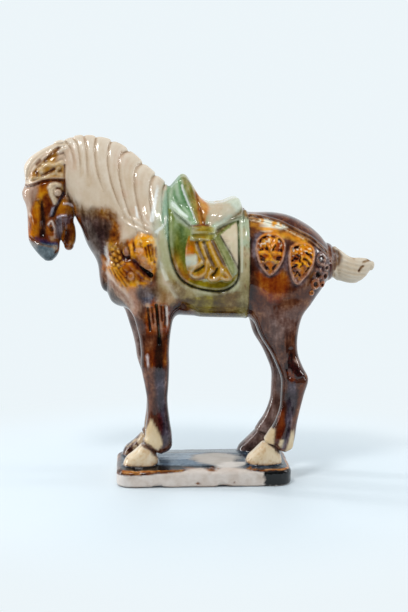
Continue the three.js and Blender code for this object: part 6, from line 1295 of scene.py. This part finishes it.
# a round pale floor that brightens into the backdrop away from the piece
fm = bpy.data.meshes.new("floor")
turn = [2*math.pi*i/72 for i in range(72)]
vs = [(0, 0, -.0002)]+[(r*math.cos(t), r*math.sin(t), -.0002) for r in (.10, .17, .245) for t in turn]
fs = [(0, 1+i, 1+(i+1) % 72) for i in range(72)]
for k in (0, 72):
    fs += [(1+k+i, 73+k+i, 73+k+(i+1) % 72, 1+k+(i+1) % 72) for i in range(72)]
fm.from_pydata(vs, [], fs)
floor = bpy.data.objects.new("floor", fm)
bpy.context.scene.collection.objects.link(floor)
m = bpy.data.materials.new("pale_floor")
m.use_nodes = True
nt = m.node_tree
fb = nt.nodes["Principled BSDF"]
fb.inputs["Base Color"].default_value = (.67, .73, .77, 1)
fb.inputs["Roughness"].default_value = .6
fb.inputs["Specular IOR Level"].default_value = .2
em = nt.nodes.new("ShaderNodeEmission")
em.inputs["Color"].default_value = (*BACKDROP, 1)
tc = nt.nodes.new("ShaderNodeTexCoord")
ln = nt.nodes.new("ShaderNodeVectorMath"); ln.operation = "LENGTH"
nt.links.new(tc.outputs["Object"], ln.inputs[0])
mr = nt.nodes.new("ShaderNodeMapRange"); mr.interpolation_type = "SMOOTHSTEP"
mr.inputs["From Min"].default_value = .09; mr.inputs["From Max"].default_value = .235
nt.links.new(ln.outputs["Value"], mr.inputs["Value"])
ms = nt.nodes.new("ShaderNodeMixShader")
nt.links.new(mr.outputs["Result"], ms.inputs["Fac"])
nt.links.new(fb.outputs["BSDF"], ms.inputs[1])
nt.links.new(em.outputs["Emission"], ms.inputs[2])
nt.links.new(ms.outputs["Shader"], nt.nodes["Material Output"].inputs["Surface"])
fm.materials.append(m)

# pale studio walls, dimmer on the side that the photographer stands on
world = bpy.data.worlds.new("studio")
bpy.context.scene.world = world
world.use_nodes = True
nt = world.node_tree
bg = nt.nodes["Background"]
bg.inputs["Color"].default_value = (*BACKDROP, 1)
bg.inputs["Strength"].default_value = 1.
tc = nt.nodes.new("ShaderNodeTexCoord")
sp = nt.nodes.new("ShaderNodeSeparateXYZ")
nt.links.new(tc.outputs["Generated"], sp.inputs[0])
lp = nt.nodes.new("ShaderNodeLightPath")


def darker(below, ray, invert, y0, y1, strength, axis="Y"):
    """Mixes in a darker wall for one kind of ray, from y0 to y1 along an axis."""
    dim = nt.nodes.new("ShaderNodeBackground")
    dim.inputs["Color"].default_value = (.80, .90, 1.0, 1)
    dim.inputs["Strength"].default_value = strength
    mr = nt.nodes.new("ShaderNodeMapRange"); mr.interpolation_type = "SMOOTHSTEP"
    mr.inputs["From Min"].default_value = y0; mr.inputs["From Max"].default_value = y1
    nt.links.new(sp.outputs[axis], mr.inputs["Value"])
    src = lp.outputs[ray]
    if invert:
        inv = nt.nodes.new("ShaderNodeMath"); inv.operation = "SUBTRACT"; inv.inputs[0].default_value = 1.
        nt.links.new(src, inv.inputs[1]); src = inv.outputs[0]
    mu = nt.nodes.new("ShaderNodeMath"); mu.operation = "MULTIPLY"
    nt.links.new(mr.outputs["Result"], mu.inputs[0]); nt.links.new(src, mu.inputs[1])
    ms = nt.nodes.new("ShaderNodeMixShader")
    nt.links.new(mu.outputs[0], ms.inputs["Fac"])
    nt.links.new(below, ms.inputs[1]); nt.links.new(dim.outputs[0], ms.inputs[2])
    return ms.outputs[0]


walls = darker(bg.outputs[0], "Is Camera Ray", True, -.55, -.85, .46)
walls = darker(walls, "Is Glossy Ray", False, .50, .02, .07)
walls = darker(walls, "Is Glossy Ray", False, .35, .75, .30, "Z")
nt.links.new(walls, nt.nodes["World Output"].inputs["Surface"])


def softbox(name, loc, aim, radiance, sx, sy, colour=(1, 1, 1)):
    l = bpy.data.lights.new(name, "AREA")
    l.shape = "RECTANGLE"; l.size = sx; l.size_y = sy; l.energy = radiance*math.pi*sx*sy; l.color = colour
    o = bpy.data.objects.new(name, l)
    bpy.context.scene.collection.objects.link(o)
    o.location = loc
    o.rotation_mode = "QUATERNION"
    o.rotation_quaternion = (Vector(aim)-Vector(loc)).to_track_quat("-Z", "Y")
    return o


softbox("key", (-.30, -.55, 1.00), (0, 0, .1), 42., .20, .16)
softbox("left", (-1.00, .35, .42), (0, 0, .1), 18., .10, .90)
softbox("right", (1.05, -.04, .40), (0, 0, .1), 14., .11, .50)
softbox("back", (.10, .90, .90), (0, 0, .1), 8., .40, .20).visible_glossy = False

# ---------------------------------------------------------------- camera, at the photograph's angle
EL, AZ, DIST = math.radians(8.), math.radians(-3.), .820
target = Vector((.001, 0, .0987))
back = Vector((math.sin(AZ)*math.cos(EL), -math.cos(AZ)*math.cos(EL), math.sin(EL)))
cam = bpy.data.cameras.new("camera")
cam.sensor_fit = "VERTICAL"
cam.sensor_height = 36.
cam.lens = 18/math.tan(math.radians(12))
cam.clip_start = .01
co = bpy.data.objects.new("camera", cam)
bpy.context.scene.collection.objects.link(co)
right = (-back).cross(Vector((0, 0, 1))).normalized()
up = right.cross(-back)
co.matrix_world = Matrix.Translation(target+back*DIST) @ Matrix((right, up, back)).transposed().to_4x4()
bpy.context.scene.camera = co
